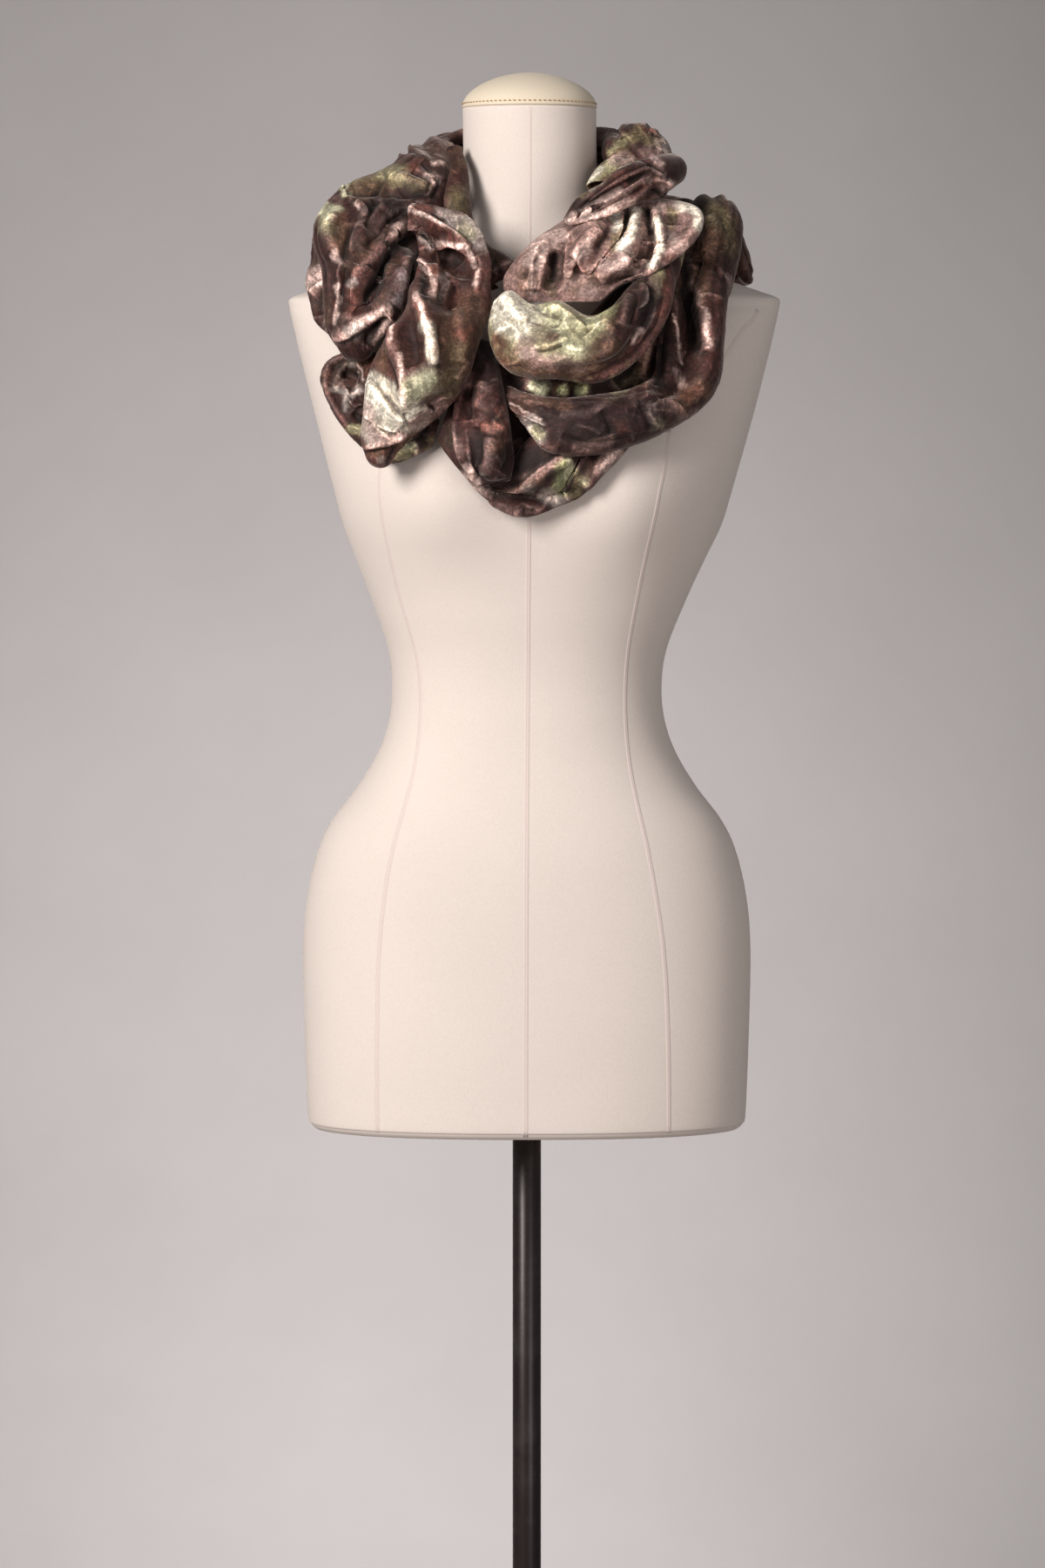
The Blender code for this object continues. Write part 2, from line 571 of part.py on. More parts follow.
def stand(plate_finish, pole_finish):
    """The base plate with its hub, and the pole that stands in the hub."""
    bore = POLE_RADIUS + GAP
    turned_solid("base_plate", [
        (0.0, 0.0), (BASE_RADIUS - BASE_EDGE_LOW, 0.0), (BASE_RADIUS, BASE_EDGE_LOW),
        (BASE_RADIUS, BASE_THICK - BASE_EDGE_TOP), (BASE_RADIUS - BASE_EDGE_TOP, BASE_THICK),
        (HUB_RADIUS + HUB_FLARE, BASE_THICK + HUB_FLARE_FOOT),
        (HUB_RADIUS, BASE_THICK + HUB_FLARE_TOP),
        (HUB_RADIUS, HUB_TOP - HUB_BEVEL), (HUB_RADIUS - HUB_BEVEL, HUB_TOP), (bore, HUB_TOP),
        (bore, POLE_FOOT - GAP), (0.0, POLE_FOOT - GAP)], STAND_SIDES, plate_finish)
    top = FORM_BOTTOM + SOCKET_DEPTH - GAP
    turned_solid("stand_pole", [(0.0, POLE_FOOT), (POLE_RADIUS, POLE_FOOT),
                                (POLE_RADIUS, top), (0.0, top)], STAND_SIDES // 2, pole_finish)


def main():
    """Builds the whole part."""
    for old in list(bpy.data.objects):
        bpy.data.objects.remove(old, do_unlink=True)
    stand(material("plate_paint", *PLATE_FINISH), material("pole_metal", *POLE_FINISH))
    dress_form(material("form_jersey", *JERSEY_FINISH))
    neck_cap(material("cap_wood", *CAP_FINISH))
    for name, colour, stations, steps, sections, folds in STRETCHES:
        velvet = material(name + "_velvet", colour, *VELVET_FINISH)
        cloth_wall(name, stations, steps, sections, folds, velvet)


main()
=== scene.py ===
"""Looks of the velvet scarf on its dress form: the cloth, the form, the stand and the studio.

Tables are in millimetres; meshes are made in metres in the frame's own axes (front towards -Y).
Each stretch of cloth is a lofted wall; folds are pressed into it along listed lines.
"""
import math
from collections import namedtuple

import bpy
import numpy as np
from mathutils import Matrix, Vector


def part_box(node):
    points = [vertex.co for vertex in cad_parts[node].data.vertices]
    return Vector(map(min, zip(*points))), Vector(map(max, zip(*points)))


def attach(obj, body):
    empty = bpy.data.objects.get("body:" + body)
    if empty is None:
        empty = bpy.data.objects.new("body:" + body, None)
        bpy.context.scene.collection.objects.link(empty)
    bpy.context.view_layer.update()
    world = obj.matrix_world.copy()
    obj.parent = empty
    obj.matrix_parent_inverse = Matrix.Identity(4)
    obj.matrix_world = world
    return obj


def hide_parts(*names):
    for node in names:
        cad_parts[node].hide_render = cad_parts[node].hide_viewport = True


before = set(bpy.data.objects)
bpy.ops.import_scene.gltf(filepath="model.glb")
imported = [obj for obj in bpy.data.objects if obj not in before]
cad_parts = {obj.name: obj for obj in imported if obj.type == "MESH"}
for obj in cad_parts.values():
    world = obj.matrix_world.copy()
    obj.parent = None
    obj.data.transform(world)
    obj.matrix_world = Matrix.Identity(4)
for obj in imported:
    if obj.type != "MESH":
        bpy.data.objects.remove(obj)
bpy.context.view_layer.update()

MM = 0.001

# ---- cloth -------------------------------------------------------------------------------------
PLY = 1.7                      # thickness of the two plies together
EDGE_ROLL = 5.0                # radius of the rolled edges
CURL_TAIL = 0.9                # how far the curl runs back behind the cloth, in rolls
ROLL_CLEAR = 1.5               # kept free between the two curls of a narrow section
FACING_GAIN = 1.4              # a fold is at its full height where the cloth nearly faces its side
FOLD_STEPS = 14                # points along the line of one fold
FOLD_REACH = 3.9               # how far a ridge, a valley or a crease reaches, in its widths
LINE_REACH = 4.0               # how far from its line a fold is worked out, in its widths
LIP_STEEP = 0.33               # steep side of a lip, as a share of its width
LIP_LEAN = 0.55                # how far a lip leans over, as a share of its height
FAR = 1e9                      # stands for a distance that no fold or patch reaches
RIM = 5.0                      # folds and crumples die out this near a rim
PLEAT_SWAY = 0.05              # how far a pleat wanders, as a share of the width
BACK_FROM = 24.0               # behind this depth the mesh is coarser

# Dyes of the velvet (sRGB 0-255).
DYES = {
    "umber": (28, 15, 14), "aubergine": (44, 24, 26), "plum": (60, 33, 30), "wine": (88, 50, 44),
    "rust": (126, 74, 60), "brown": (116, 84, 66), "mauve": (156, 124, 116),
    "rose": (214, 184, 174), "silver": (180, 166, 158), "slate": (112, 102, 104),
    "olive": (118, 104, 76), "sage": (176, 168, 130), "green": (172, 172, 126),
    "lime": (224, 220, 184), "cream": (250, 240, 220),
}


# Sections of each stretch: first edge x, y, z, second edge x, y, z, and the loft between them.
STRETCHES = {
    "inner_front_layer": (
        (-51.1, -124, 1332.3, -46, -90, 1412.7, 7),
        (-8.9, -127, 1314.5, -3.4, -97, 1402.3, 8),
        (25.2, -122, 1333.6, 38, -95, 1420, 8),
        (67.8, -107, 1363.8, 72, -88, 1452, 8),
        (103, -97, 1383, 101, -80, 1460, 7),
    ),
    "bottom_loop": (
        (-70.1, -131, 1330.2, -57.9, -128, 1364.3, 7),
        (-53.1, -135, 1307.8, -40.2, -131, 1345.9, 8),
        (-37.4, -135, 1289.4, -26.5, -133, 1320, 10),
        (-18.4, -134, 1275.8, -13.6, -135, 1316, 14),
        (0.7, -133, 1271, 3, -137, 1334, 15),
        (23.8, -136, 1279.2, 21, -137, 1342, 15),
        (42.8, -137, 1288, 38, -134, 1341, 13),
        (64.6, -134, 1308.4, 57.9, -126, 1341.8, 10),
        (79.8, -126, 1325.5, 77.1, -119, 1348.7, 7),
    ),
    "centre_drape": (
        (-51.3, -109.8, 1407.6, -27.4, -103.8, 1404.9, 7),
        (-49.7, -130, 1384.7, -21.8, -122, 1382.8, 9),
        (-55.8, -142, 1364.8, -17, -136, 1362.2, 12),
        (-58.3, -150, 1343.7, -13.6, -147, 1345.8, 14),
        (-56.9, -153, 1326.8, -11.5, -150, 1330.2, 15),
        (-50.1, -154, 1309.8, -10.2, -152, 1313.2, 14),
        (-38.6, -155, 1295.6, -12.9, -153, 1300.3, 9),
    ),
    "outer_right_band": (
        (121, 33.3, 1524, 181, 33.3, 1460, 17),
        (121, 23, 1524, 181, 23, 1461, 17),
        (123, 9, 1513, 176, 9, 1481, 17),
        (125, -10, 1511.4, 170.4, -12, 1505.7, 20),
        (129.8, -40, 1499.1, 172.4, -34, 1495.2, 22),
        (120, -65, 1470, 167.6, -52, 1468.9, 20),
        (109, -88, 1438, 157.4, -66, 1437.4, 22),
        (103, -108, 1408, 152.3, -74, 1406.2, 25),
        (100.3, -122, 1384.8, 147.7, -88, 1376.3, 26),
        (88.5, -132, 1374.5, 132.1, -106, 1353.5, 26),
        (68, -140, 1368.3, 95.2, -136, 1331.6, 24),
        (40.7, -145, 1364.1, 52.1, -157, 1320, 20),
        (17, -146, 1364.1, 18.3, -157, 1322, 16),
        (-0.7, -141, 1368.2, 0.7, -148, 1339.7, 11),
        (-14.1, -132, 1373.8, -11.4, -136, 1358.8, 7),
    ),
    "front_band": (
        (-8.9, -114, 1396.5, -10.3, -110, 1434.9, 7),
        (-16.3, -132, 1393.5, -19.1, -128, 1439.2, 11),
        (-10.2, -144, 1383.1, -12.9, -140, 1447.8, 20),
        (6.8, -149, 1379, 4.8, -145, 1436.8, 28),
        (27.1, -150, 1378.3, 25.1, -146, 1439.5, 31),
        (47.5, -149, 1375.6, 47.5, -145, 1427.9, 30),
        (67.9, -146, 1381.1, 65.9, -141, 1435.5, 27),
        (87, -139, 1396.1, 79.7, -130, 1450.8, 25),
        (102.9, -126, 1418.2, 93, -111, 1465, 22),
        (113.6, -108, 1444.5, 100.2, -93, 1477.9, 16),
        (120.8, -92, 1465.6, 108.1, -79, 1493.5, 10),
        (124.6, -80, 1481.1, 113.8, -69, 1503.5, 7),
    ),
    "right_fan": (
        (64, -70, 1524.5, 100, -68, 1520.5, 7),
        (46, -76, 1515, 125.5, -73, 1517, 9),
        (29, -80, 1502.5, 138.1, -90, 1509.6, 15),
        (11, -90, 1489, 135.6, -105, 1494.6, 22),
        (-3.4, -101, 1475.6, 120.8, -121, 1478.3, 26),
        (-13.7, -109, 1465, 100.1, -132, 1465, 20),
        (-18.4, -115, 1455.3, 72.9, -131, 1452.8, 14),
        (-15.7, -118, 1439.5, 57.9, -126, 1439.3, 8),
    ),
    "twist_wrap": (
        (35.6, -108, 1499.3, 30.8, -103, 1507, 5),
        (47.1, -118, 1503.7, 40.4, -109, 1521.1, 7),
        (66.2, -120, 1509.1, 58.2, -107, 1531.5, 11),
        (86.8, -113, 1517.5, 74.8, -95, 1545.1, 13),
        (106.5, -89, 1524.7, 94.5, -72, 1552.4, 15),
        (118.8, -58, 1533, 109.4, -45, 1557.2, 13),
        (119.6, -32, 1536.9, 111.4, -27, 1556.7, 9),
    ),
    "right_neck_loop": (
        (74, 20, 1562, 100, 20, 1560, 12),
        (72, -12, 1560, 107.4, -14, 1554, 15),
        (55, -36, 1547, 109, -36, 1534, 17),
        (47, -53, 1534, 104, -50, 1520, 11),
    ),
    "neck_back_band": (
        (-64, 34, 1574, -100, 40, 1533, 17),
        (-60, 46, 1579, -94, 56, 1532, 18),
        (-40, 60, 1585, -68, 79.6, 1530, 20),
        (0, 62, 1582, 0, 86, 1527, 21),
        (42, 56, 1582, 76, 72, 1532, 22),
        (60, 28, 1575, 108, 36, 1543, 25),
        (60, -8, 1560, 115, -10, 1552, 29),
    ),
    "shoulder_back_band": (
        (-108, 30, 1520, -172, 28, 1466, 18),
        (-108, 42, 1521, -170, 44, 1462, 20),
        (-94, 66, 1527, -152, 78, 1450, 22),
        (-54, 91, 1534, -94, 105, 1438, 24),
        (0, 100, 1537, 0, 106, 1434, 25),
        (56, 92, 1536, 94, 106, 1440, 25),
        (98, 70, 1532, 150, 82, 1450, 23),
        (118, 46, 1526, 178, 50, 1458, 19),
        (121, 34, 1524, 181, 34, 1460, 17),
    ),
    "left_swirl": (
        (-100.3, 39.2, 1533, -64.3, 33.2, 1574, 17),
        (-105, 26, 1530, -63, 20, 1570, 19),
        (-110, 10, 1528, -57, 0, 1564, 23),
        (-104.9, -6, 1540.9, -58.2, -48, 1519.6, 30),
        (-125.9, -4, 1531.2, -76.5, -76, 1492.2, 32),
        (-150.1, -14, 1519.6, -86.5, -94, 1479.2, 34),
        (-165.4, -36, 1496.5, -88.2, -110, 1467.1, 36),
        (-158.9, -62, 1461.6, -88.1, -118, 1451.1, 34),
        (-156.9, -82, 1432.8, -96.2, -122, 1436, 30),
        (-153.2, -90, 1413.4, -108.5, -120, 1422.4, 24),
        (-146.1, -96, 1403, -118.3, -112, 1408.9, 14),
        (-143, -86, 1404.6, -121.4, -98, 1410.5, 8),
    ),
    "left_shoulder_layer": (
        (-172, 27.3, 1466, -108, 29.3, 1520, 18),
        (-172, 17, 1467, -108, 18, 1520, 18),
        (-172, 4, 1479, -110, 4, 1513, 16),
        (-171.2, -8, 1490.5, -116.7, -8, 1494.7, 15),
        (-170.6, -26, 1476, -118.9, -32, 1473.7, 13),
        (-175.6, -42, 1460.2, -125.2, -56, 1454.9, 10),
        (-171.6, -54, 1437.7, -128.9, -73, 1435.8, 8),
        (-166.5, -64, 1423.6, -132.8, -83.4, 1419.7, 7),
        (-155.1, -72, 1413.8, -139.6, -85, 1408.7, 7),
    ),
    "left_lower_loop": (
        (-147, -66, 1394.6, -117.6, -84, 1398.4, 7),
        (-159.3, -70, 1389, -114.5, -98, 1391.3, 11),
        (-161.3, -72, 1376.5, -112.9, -107, 1374.8, 15),
        (-153.5, -80, 1357.9, -111.4, -112, 1357.6, 16),
        (-142.2, -89, 1340.6, -107.2, -117, 1341.9, 14),
        (-128.1, -101, 1325.5, -100.3, -121, 1333.6, 11),
        (-108.7, -113, 1313.2, -90.7, -124, 1336.4, 9),
        (-90.8, -120, 1317.3, -79.8, -126, 1343.2, 8),
        (-74.4, -122, 1326.1, -68.9, -124, 1348.6, 7),
    ),
    "left_tongue": (
        (-92.6, -98, 1515, -46, -104, 1505, 7),
        (-93, -103, 1508, -34, -110, 1490, 9),
        (-90, -108, 1500, -28.5, -116, 1470, 11),
        (-86.9, -110, 1491, -28.7, -121, 1453.2, 15),
        (-84.7, -116, 1476, -27.3, -126, 1438.7, 20),
        (-88.7, -122, 1453, -30, -130, 1427.6, 26),
        (-94.7, -130, 1432.4, -35.4, -136, 1413.9, 30),
        (-107.6, -132, 1413.9, -39.4, -141, 1400.2, 33),
        (-118.4, -133, 1394.9, -44.8, -144, 1381.8, 34),
        (-125.2, -134, 1374.4, -56.3, -147, 1362.7, 33),
        (-127.9, -136, 1350.6, -73.3, -148, 1346.5, 27),
        (-129.2, -138, 1331.6, -90.2, -147, 1332.9, 19),
        (-125.7, -139, 1320, -101.8, -144, 1320.7, 11),
        (-121.2, -130, 1315.9, -105.5, -134, 1318, 7),
    ),
    "throat_fold": (
        (-64, -27, 1562, -52, -30, 1564, 4),
        (-61.2, -44.6, 1549.2, -48, -43, 1551.2, 4),
        (-65, -64, 1526.6, -46.1, -50, 1534.9, 6),
        (-65.4, -78, 1512.8, -45, -59, 1521, 8),
        (-66, -87, 1497.3, -42, -69, 1503, 9),
        (-57, -95, 1479.2, -32, -78, 1484, 10),
        (-43.2, -100, 1462.6, -13.1, -82, 1474.1, 9),
        (-29.5, -103, 1450.1, 0.7, -88, 1462.9, 7),
    ),
}

# Deepest folds of each stretch, as broad dents or swellings, laid out like FOLDS.
DEEP_FOLDS = {
    "bottom_loop": {
        "broad": (
            (8, -9, -36, 1289, -3, 1289, 24, 1281), (8, -9, 48, 1320, 40, 1303, 32, 1282),
        ),
    },
    "centre_drape": {
        "broad": (
            (9, -7, -44, 1381, -50, 1347, -41, 1303), (9, 7, -29, 1388, -25, 1354, -26, 1306),
        ),
    },
    "outer_right_band": {
        "broad": (
            (12, -20, 128, 1481, 128, 1423, 124, 1377), (11, 7, 144, 1457, 144, 1416, 139, 1382),
            (8, -9, 111, 1412, 113, 1388, 107, 1371),
        ),
    },
    "front_band": {
        "broad": (
            (8, -9, 34, 1380, 73, 1389, 97, 1427), (9, -6, -10, 1420, 14, 1427, 34, 1420),
        ),
    },
    "right_fan": {
        "broad": (
            (11, -12, 31, 1496, 18, 1472, 20, 1449), (11, -12, 73, 1507, 62, 1477, 43, 1458),
            (9, -13, 94, 1513, 98, 1488, 80, 1458), (9, -10, 111, 1514, 114, 1496, 99, 1470),
        ),
    },
    "twist_wrap": {
        "broad": (
            (7, -7, 41, 1507, 69, 1526, 101, 1543), (7, -6, 52, 1504, 76, 1518, 107, 1532),
        ),
    },
    "right_neck_loop": {
        "broad": (
            (7, -6, 66, 1563, 84, 1571, 102, 1563),
        ),
    },
    "neck_back_band": {
        "back broad": (
            (9, -7, -70, 1560, -10, 1552, 60, 1562), (8, -5, -30, 1540, 10, 1536, 80, 1548),
        ),
    },
    "shoulder_back_band": {
        "back broad": (
            (11, -9, -130, 1500, -40, 1478, 60, 1496), (10, -8, -60, 1458, 20, 1452, 120, 1476),
            (9, 6, -10, 1516, 60, 1512, 120, 1502),
        ),
    },
    "left_swirl": {
        "broad": (
            (12, -10, -140, 1525, -142, 1489, -148, 1440),
            (12, -12, -105, 1502, -124, 1471, -138, 1430), (12, -17, -84, 1493, -108, 1478, -121, 1440),
            (11, -10, -122, 1538, -118, 1526, -122, 1508),
        ),
    },
    "left_lower_loop": {
        "broad": (
            (18, -16, -142, 1389, -141, 1375, -133, 1354),
        ),
    },
    "left_tongue": {
        "broad": (
            (20, -23, -68, 1481, -51, 1466, -54, 1449), (11, 12, -84, 1446, -74, 1412, -76, 1381),
            (8, -7, -122, 1380, -108, 1364, -96, 1350), (9, 7, -104, 1418, -98, 1388, -96, 1357),
            (8, -7, -117, 1342, -95, 1334, -63, 1362),
        ),
    },
    "throat_fold": {
        "broad": (
            (8, -6, -64, 1509, -45, 1498, -34, 1472),
        ),
    },
}

# Main folds of each stretch.  Under its kind, each has its width, its height and
# the x and z of the points that its line passes through.
FOLDS = {
    "left_swirl": {
        "broad": (
            (7.8, 5.1, -93, 1497, -109, 1480, -126, 1455, -138, 1428),
            (6.5, 4.5, -94, 1470, -100, 1455, -110, 1438),
        ),
        "valley": (
            (4.7, 6.1, -86, 1493, -107, 1478, -113, 1469, -116, 1459, -129, 1439),
            (3.4, 5.1, -110, 1429, -120, 1420, -126, 1406), (4.4, 6.6, -87, 1472, -90, 1436),
            (3.4, 5.1, -119, 1522, -128, 1498), (3.9, 5.8, -93, 1514, -113, 1499, -126, 1481),
            (3.1, 4.6, -138, 1500, -145, 1472), (2.9, 3.8, -142, 1467, -147, 1430),
            (3.1, 4.6, -144, 1527, -123, 1527, -118, 1531, -116, 1539),
            (3.4, 5.1, -116, 1525, -107, 1527, -96, 1525, -76, 1530), (2.1, 3.1, -92, 1543, -74, 1533),
            (2.6, 3.9, -68, 1540, -75, 1522), (2.6, 3.8, -84, 1553, -75, 1543),
        ),
        "lip": (
            (5.7, 5.7, -154, 1413, -141, 1413, -115, 1430, -108, 1432, -106, 1428, -109, 1425),
            (3.9, 5.8, -127, 1506, -130, 1514, -136, 1519),
            (3.1, 4.6, -143, 1524, -147, 1532, -144, 1537),
        ),
        "roll": (
            (3.4, 4.7, -104, 1428, -109, 1424, -120, 1404),
            (4.7, 6.5, -98, 1503, -130, 1465, -140, 1439),
            (4.7, 3.8, -106, 1470, -111, 1453, -123, 1434),
            (5.5, 4.2, -98, 1465, -97, 1444, -102, 1436),
            (5.2, 4.9, -151, 1510, -156, 1501, -156, 1492, -146, 1473),
            (5.2, 4.6, -139, 1534, -130, 1538, -120, 1538, -112, 1542),
            (5.2, 5.7, -111, 1541, -78, 1532),
        ),
        "ridge": (
            (3.9, 5.4, -111, 1518, -131, 1500, -139, 1479),
            (2.3, 3.2, -145, 1472, -148, 1462, -147, 1451, -152, 1420),
            (2.6, 3.6, -160, 1520, -145, 1524, -138, 1520), (2.1, 2.9, -89, 1546, -73, 1538),
            (2, 2.8, -76, 1549, -69, 1551, -58, 1545), (1.7, 2.3, -75, 1558, -68, 1555, -64, 1550),
            (2.6, 3.6, -73, 1537, -79, 1524),
        ),
        "crease": (
            (2.2, 1.4, -148, 1421, -144, 1414, -145, 1407),
        ),
    },
    "left_shoulder_layer": {
        "crease": (
            (2.4, 2.2, -175, 1459, -155, 1468), (2.4, -2.2, -172, 1464, -163, 1457, -153, 1460),
            (2.4, 2.2, -169, 1426, -155, 1444), (2.4, -2.2, -164, 1419, -157, 1426, -153, 1437),
        ),
        "lip": (
            (5.2, 4.8, -158, 1457, -172, 1447),
        ),
        "valley": (
            (3.9, 4.9, -159, 1450, -166, 1440, -163, 1430),
        ),
    },
    "left_tongue": {
        "lip": (
            (3.4, 5.1, -42, 1482, -59, 1495, -86, 1508, -93, 1514),
            (4.7, 6.8, -94, 1505, -91, 1500, -79, 1495, -71, 1485, -61, 1486, -52, 1483, -45, 1477,
             -42, 1468),
            (2.6, 3.9, -87, 1472, -81, 1471, -77, 1466, -75, 1458),
            (2.6, 3.9, -128, 1326, -111, 1328, -93, 1336),
        ),
        "valley": (
            (1.7, 2.5, -88, 1512, -64, 1502), (2.6, 3.9, -87, 1496, -81, 1493, -72, 1481),
            (5.2, 3.4, -67, 1479, -59, 1477, -52, 1470), (2.3, 3.4, -85, 1468, -78, 1457),
            (3.4, 5.1, -79, 1457, -81, 1442), (3.1, 3.8, -67, 1457, -70, 1438),
            (7, 4.6, -89, 1434, -89, 1417, -85, 1387),
            (4.7, 4.9, -66, 1428, -67, 1413, -65, 1400, -68, 1385),
            (3.4, 4.2, -112, 1401, -103, 1381, -101, 1369), (2.6, 3.9, -123, 1381, -97, 1350),
            (2.6, 3.9, -97, 1350, -80, 1359, -65, 1371), (1.7, 2.5, -125, 1348, -111, 1338, -101, 1336),
            (1.7, 2.5, -127, 1321, -107, 1327), (1.8, 2.7, -110, 1313, -100, 1329),
            (2.1, 3.1, -78, 1358, -74, 1358, -72, 1355),
        ),
        "roll": (
            (3.9, 3, -72, 1509, -50, 1505, -42, 1498, -36, 1488),
            (5.2, 3.8, -56, 1435, -51, 1405, -53, 1391),
        ),
        "crease": (
            (1.7, 1.6, -58, 1506, -54, 1500, -55, 1495), (1.7, 1.4, -49, 1503, -44, 1496, -46, 1491),
            (1.6, 1.7, -39, 1464, -41, 1450), (1.7, 1.4, -117, 1335, -110, 1334, -105, 1329),
            (1.4, 1.3, -90, 1385, -86, 1389, -79, 1390),
        ),
        "broad": (
            (9.1, -4.5, -68, 1475, -56, 1470),
        ),
        "ridge": (
            (2.1, 2.9, -85, 1491, -74, 1484), (2.1, 2.9, -85, 1480, -77, 1482, -69, 1481),
            (3.1, 4.3, -38, 1477, -35, 1467, -41, 1445), (3.9, 4.3, -73, 1470, -71, 1459, -73, 1438),
            (2.3, 3.2, -60, 1457, -67, 1436), (5.2, 6.1, -89, 1451, -74, 1409, -72, 1389),
            (4.4, 6.1, -101, 1427, -105, 1418, -105, 1407, -97, 1386, -95, 1353),
            (2.9, 4, -125, 1378, -103, 1351, -97, 1348), (2.3, 3.2, -94, 1347, -85, 1351, -62, 1369),
            (2.3, 3.2, -127, 1355, -123, 1348, -115, 1342, -105, 1340, -97, 1341),
            (2, 2.8, -121, 1345, -114, 1338, -106, 1334, -96, 1336),
            (2, 2.8, -71, 1369, -64, 1366, -58, 1368), (2.6, 2.9, -47, 1394, -56, 1378),
        ),
    },
    "left_lower_loop": {
        "ridge": (
            (2.6, 3.6, -131, 1400, -152, 1394, -157, 1386, -158, 1375, -154, 1363, -138, 1338),
            (2.6, 3.6, -152, 1371, -146, 1375, -142, 1369, -143, 1361),
            (2.6, 3.6, -139, 1364, -129, 1372), (1.7, 2.3, -134, 1394, -129, 1376),
            (2.1, 2.9, -89, 1332, -86, 1325, -89, 1320),
        ),
        "valley": (
            (2, 3, -134, 1395, -143, 1394, -151, 1390, -154, 1382, -154, 1371, -140, 1346),
            (5.2, 6.8, -146, 1386, -133, 1380), (2.6, 3.9, -137, 1354, -132, 1349, -129, 1351),
            (3.4, 5.1, -82, 1345, -85, 1335, -78, 1325),
        ),
        "lip": (
            (2, 3, -139, 1362, -135, 1358, -129, 1360), (2.9, 4.3, -95, 1330, -104, 1317),
        ),
        "crease": (
            (1.8, 1.7, -140, 1343, -128, 1339), (1.8, 1.4, -150, 1384, -146, 1379, -147, 1372),
            (1.7, 1.4, -92, 1325, -84, 1323, -74, 1327),
        ),
    },
    "throat_fold": {
        "crease": (
            (2.4, 2.2, -27, 1462, -22, 1467, -12, 1471), (2.4, -2.2, -27, 1474, -16, 1456),
        ),
        "roll": (
            (3.9, 2.8, -27, 1458, -16, 1453),
        ),
    },
    "centre_drape": {
        "crease": (
            (2.2, 2, -57, 1347, -54, 1315), (1.8, 1.6, -26, 1347, -24, 1343, -18, 1341),
            (1.7, 1.5, -17, 1357, -21, 1351, -28, 1346), (1.7, -1.5, -21, 1361, -17, 1347),
            (1.8, 1.6, -52, 1311, -39, 1306), (1.8, 1.6, -47, 1325, -38, 1294),
            (1.8, -1.6, -52, 1315, -48, 1302, -41, 1293), (1.9, 1.7, -25, 1320, -20, 1313, -21, 1306),
            (1.7, 1.4, -29, 1377, -24, 1378, -20, 1374), (1.9, 1.7, -26, 1302, -20, 1300, -13, 1302),
        ),
        "roll": (
            (3.9, 4.5, -46, 1342, -43, 1315, -39, 1300), (5.2, 4.9, -28, 1334, -32, 1304),
            (5.2, 3, -17, 1341, -26, 1339, -36, 1343), (5.2, 3.8, -33, 1377, -39, 1355),
        ),
        "valley": (
            (3.9, 4.9, -40, 1342, -36, 1312), (3.9, 4.9, -14, 1331, -13, 1317, -20, 1306),
            (5.2, 4.8, -44, 1374, -47, 1361, -45, 1347),
        ),
    },
    "bottom_loop": {
        "lip": (
            (3.9, 4.9, 31, 1321, 5, 1303, -12, 1294, -31, 1293),
            (3.9, 4.9, 46, 1321, 41, 1307, 33, 1295, 32, 1284),
        ),
        "roll": (
            (3.9, 4.2, -26, 1290, -7, 1292, 37, 1320), (5.2, 3.8, 65, 1323, 44, 1293),
            (5.2, 3.8, -31, 1282, -3, 1274),
        ),
        "valley": (
            (3.4, 4.2, -31, 1289, 3, 1287, 14, 1282),
        ),
        "crease": (
            (1.9, 1.7, 50, 1321, 37, 1294), (1.7, -1.5, 43, 1319, 31, 1297),
            (1.9, -1.4, 52, 1317, 51, 1306, 45, 1298), (1.9, 1.7, -9, 1279, -2, 1282, 5, 1277),
            (1.9, -1.7, -6, 1274, 1, 1277, 7, 1275), (1.9, 1.6, 2, 1293, 10, 1287, 24, 1285),
        ),
    },
    "front_band": {
        "roll": (
            (5.2, 4.2, -21, 1442, -13, 1436, -7, 1428, 1, 1424),
            (3.9, 4.2, 79, 1446, 77, 1432, 72, 1419), (5.2, 3, 58, 1434, 64, 1420, 64, 1406, 56, 1394),
        ),
        "valley": (
            (3.9, 4.9, 7, 1438, 13, 1431, 28, 1424), (3.9, 4.9, 45, 1428, 46, 1421, 50, 1416),
            (1.7, 2.1, 5, 1400, 17, 1400, 28, 1404), (3.6, 4.5, 85, 1448, 85, 1435, 81, 1420),
            (1.7, 2.1, 40, 1378, 57, 1384, 71, 1392, 83, 1400, 93, 1411, 102, 1425, 110, 1462),
        ),
        "ridge": (
            (2.6, 3, 16, 1434, 24, 1434, 40, 1423, 51, 1420, 63, 1423),
            (1.7, 2, 5, 1403, 16, 1404, 32, 1410),
            (3.1, 3.6, 45, 1376, 74, 1388, 97, 1408, 105, 1423, 111, 1441, 114, 1461),
        ),
        "crease": (
            (1.9, 1.7, -25, 1411, -20, 1417, -11, 1420),
            (1.7, -1.5, -3, 1425, 9, 1421, 21, 1420, 28, 1423),
            (2.2, 1.4, -9, 1423, -8, 1412, -10, 1402), (1.9, 1.3, 29, 1423, 37, 1410),
            (1.7, 1.5, 80, 1404, 89, 1421), (1.6, 1.4, 84, 1404, 97, 1424, 100, 1434),
            (1.4, -1.3, 78, 1406, 85, 1424), (2.2, 1.8, -22, 1393, -16, 1390, -6, 1392),
            (1.9, -1.6, -18, 1388, -9, 1389, 1, 1385), (2.2, 1.4, 7, 1394, 20, 1393, 30, 1396),
            (1.9, 1.3, 28, 1406, 34, 1402, 45, 1401),
        ),
        "lip": (
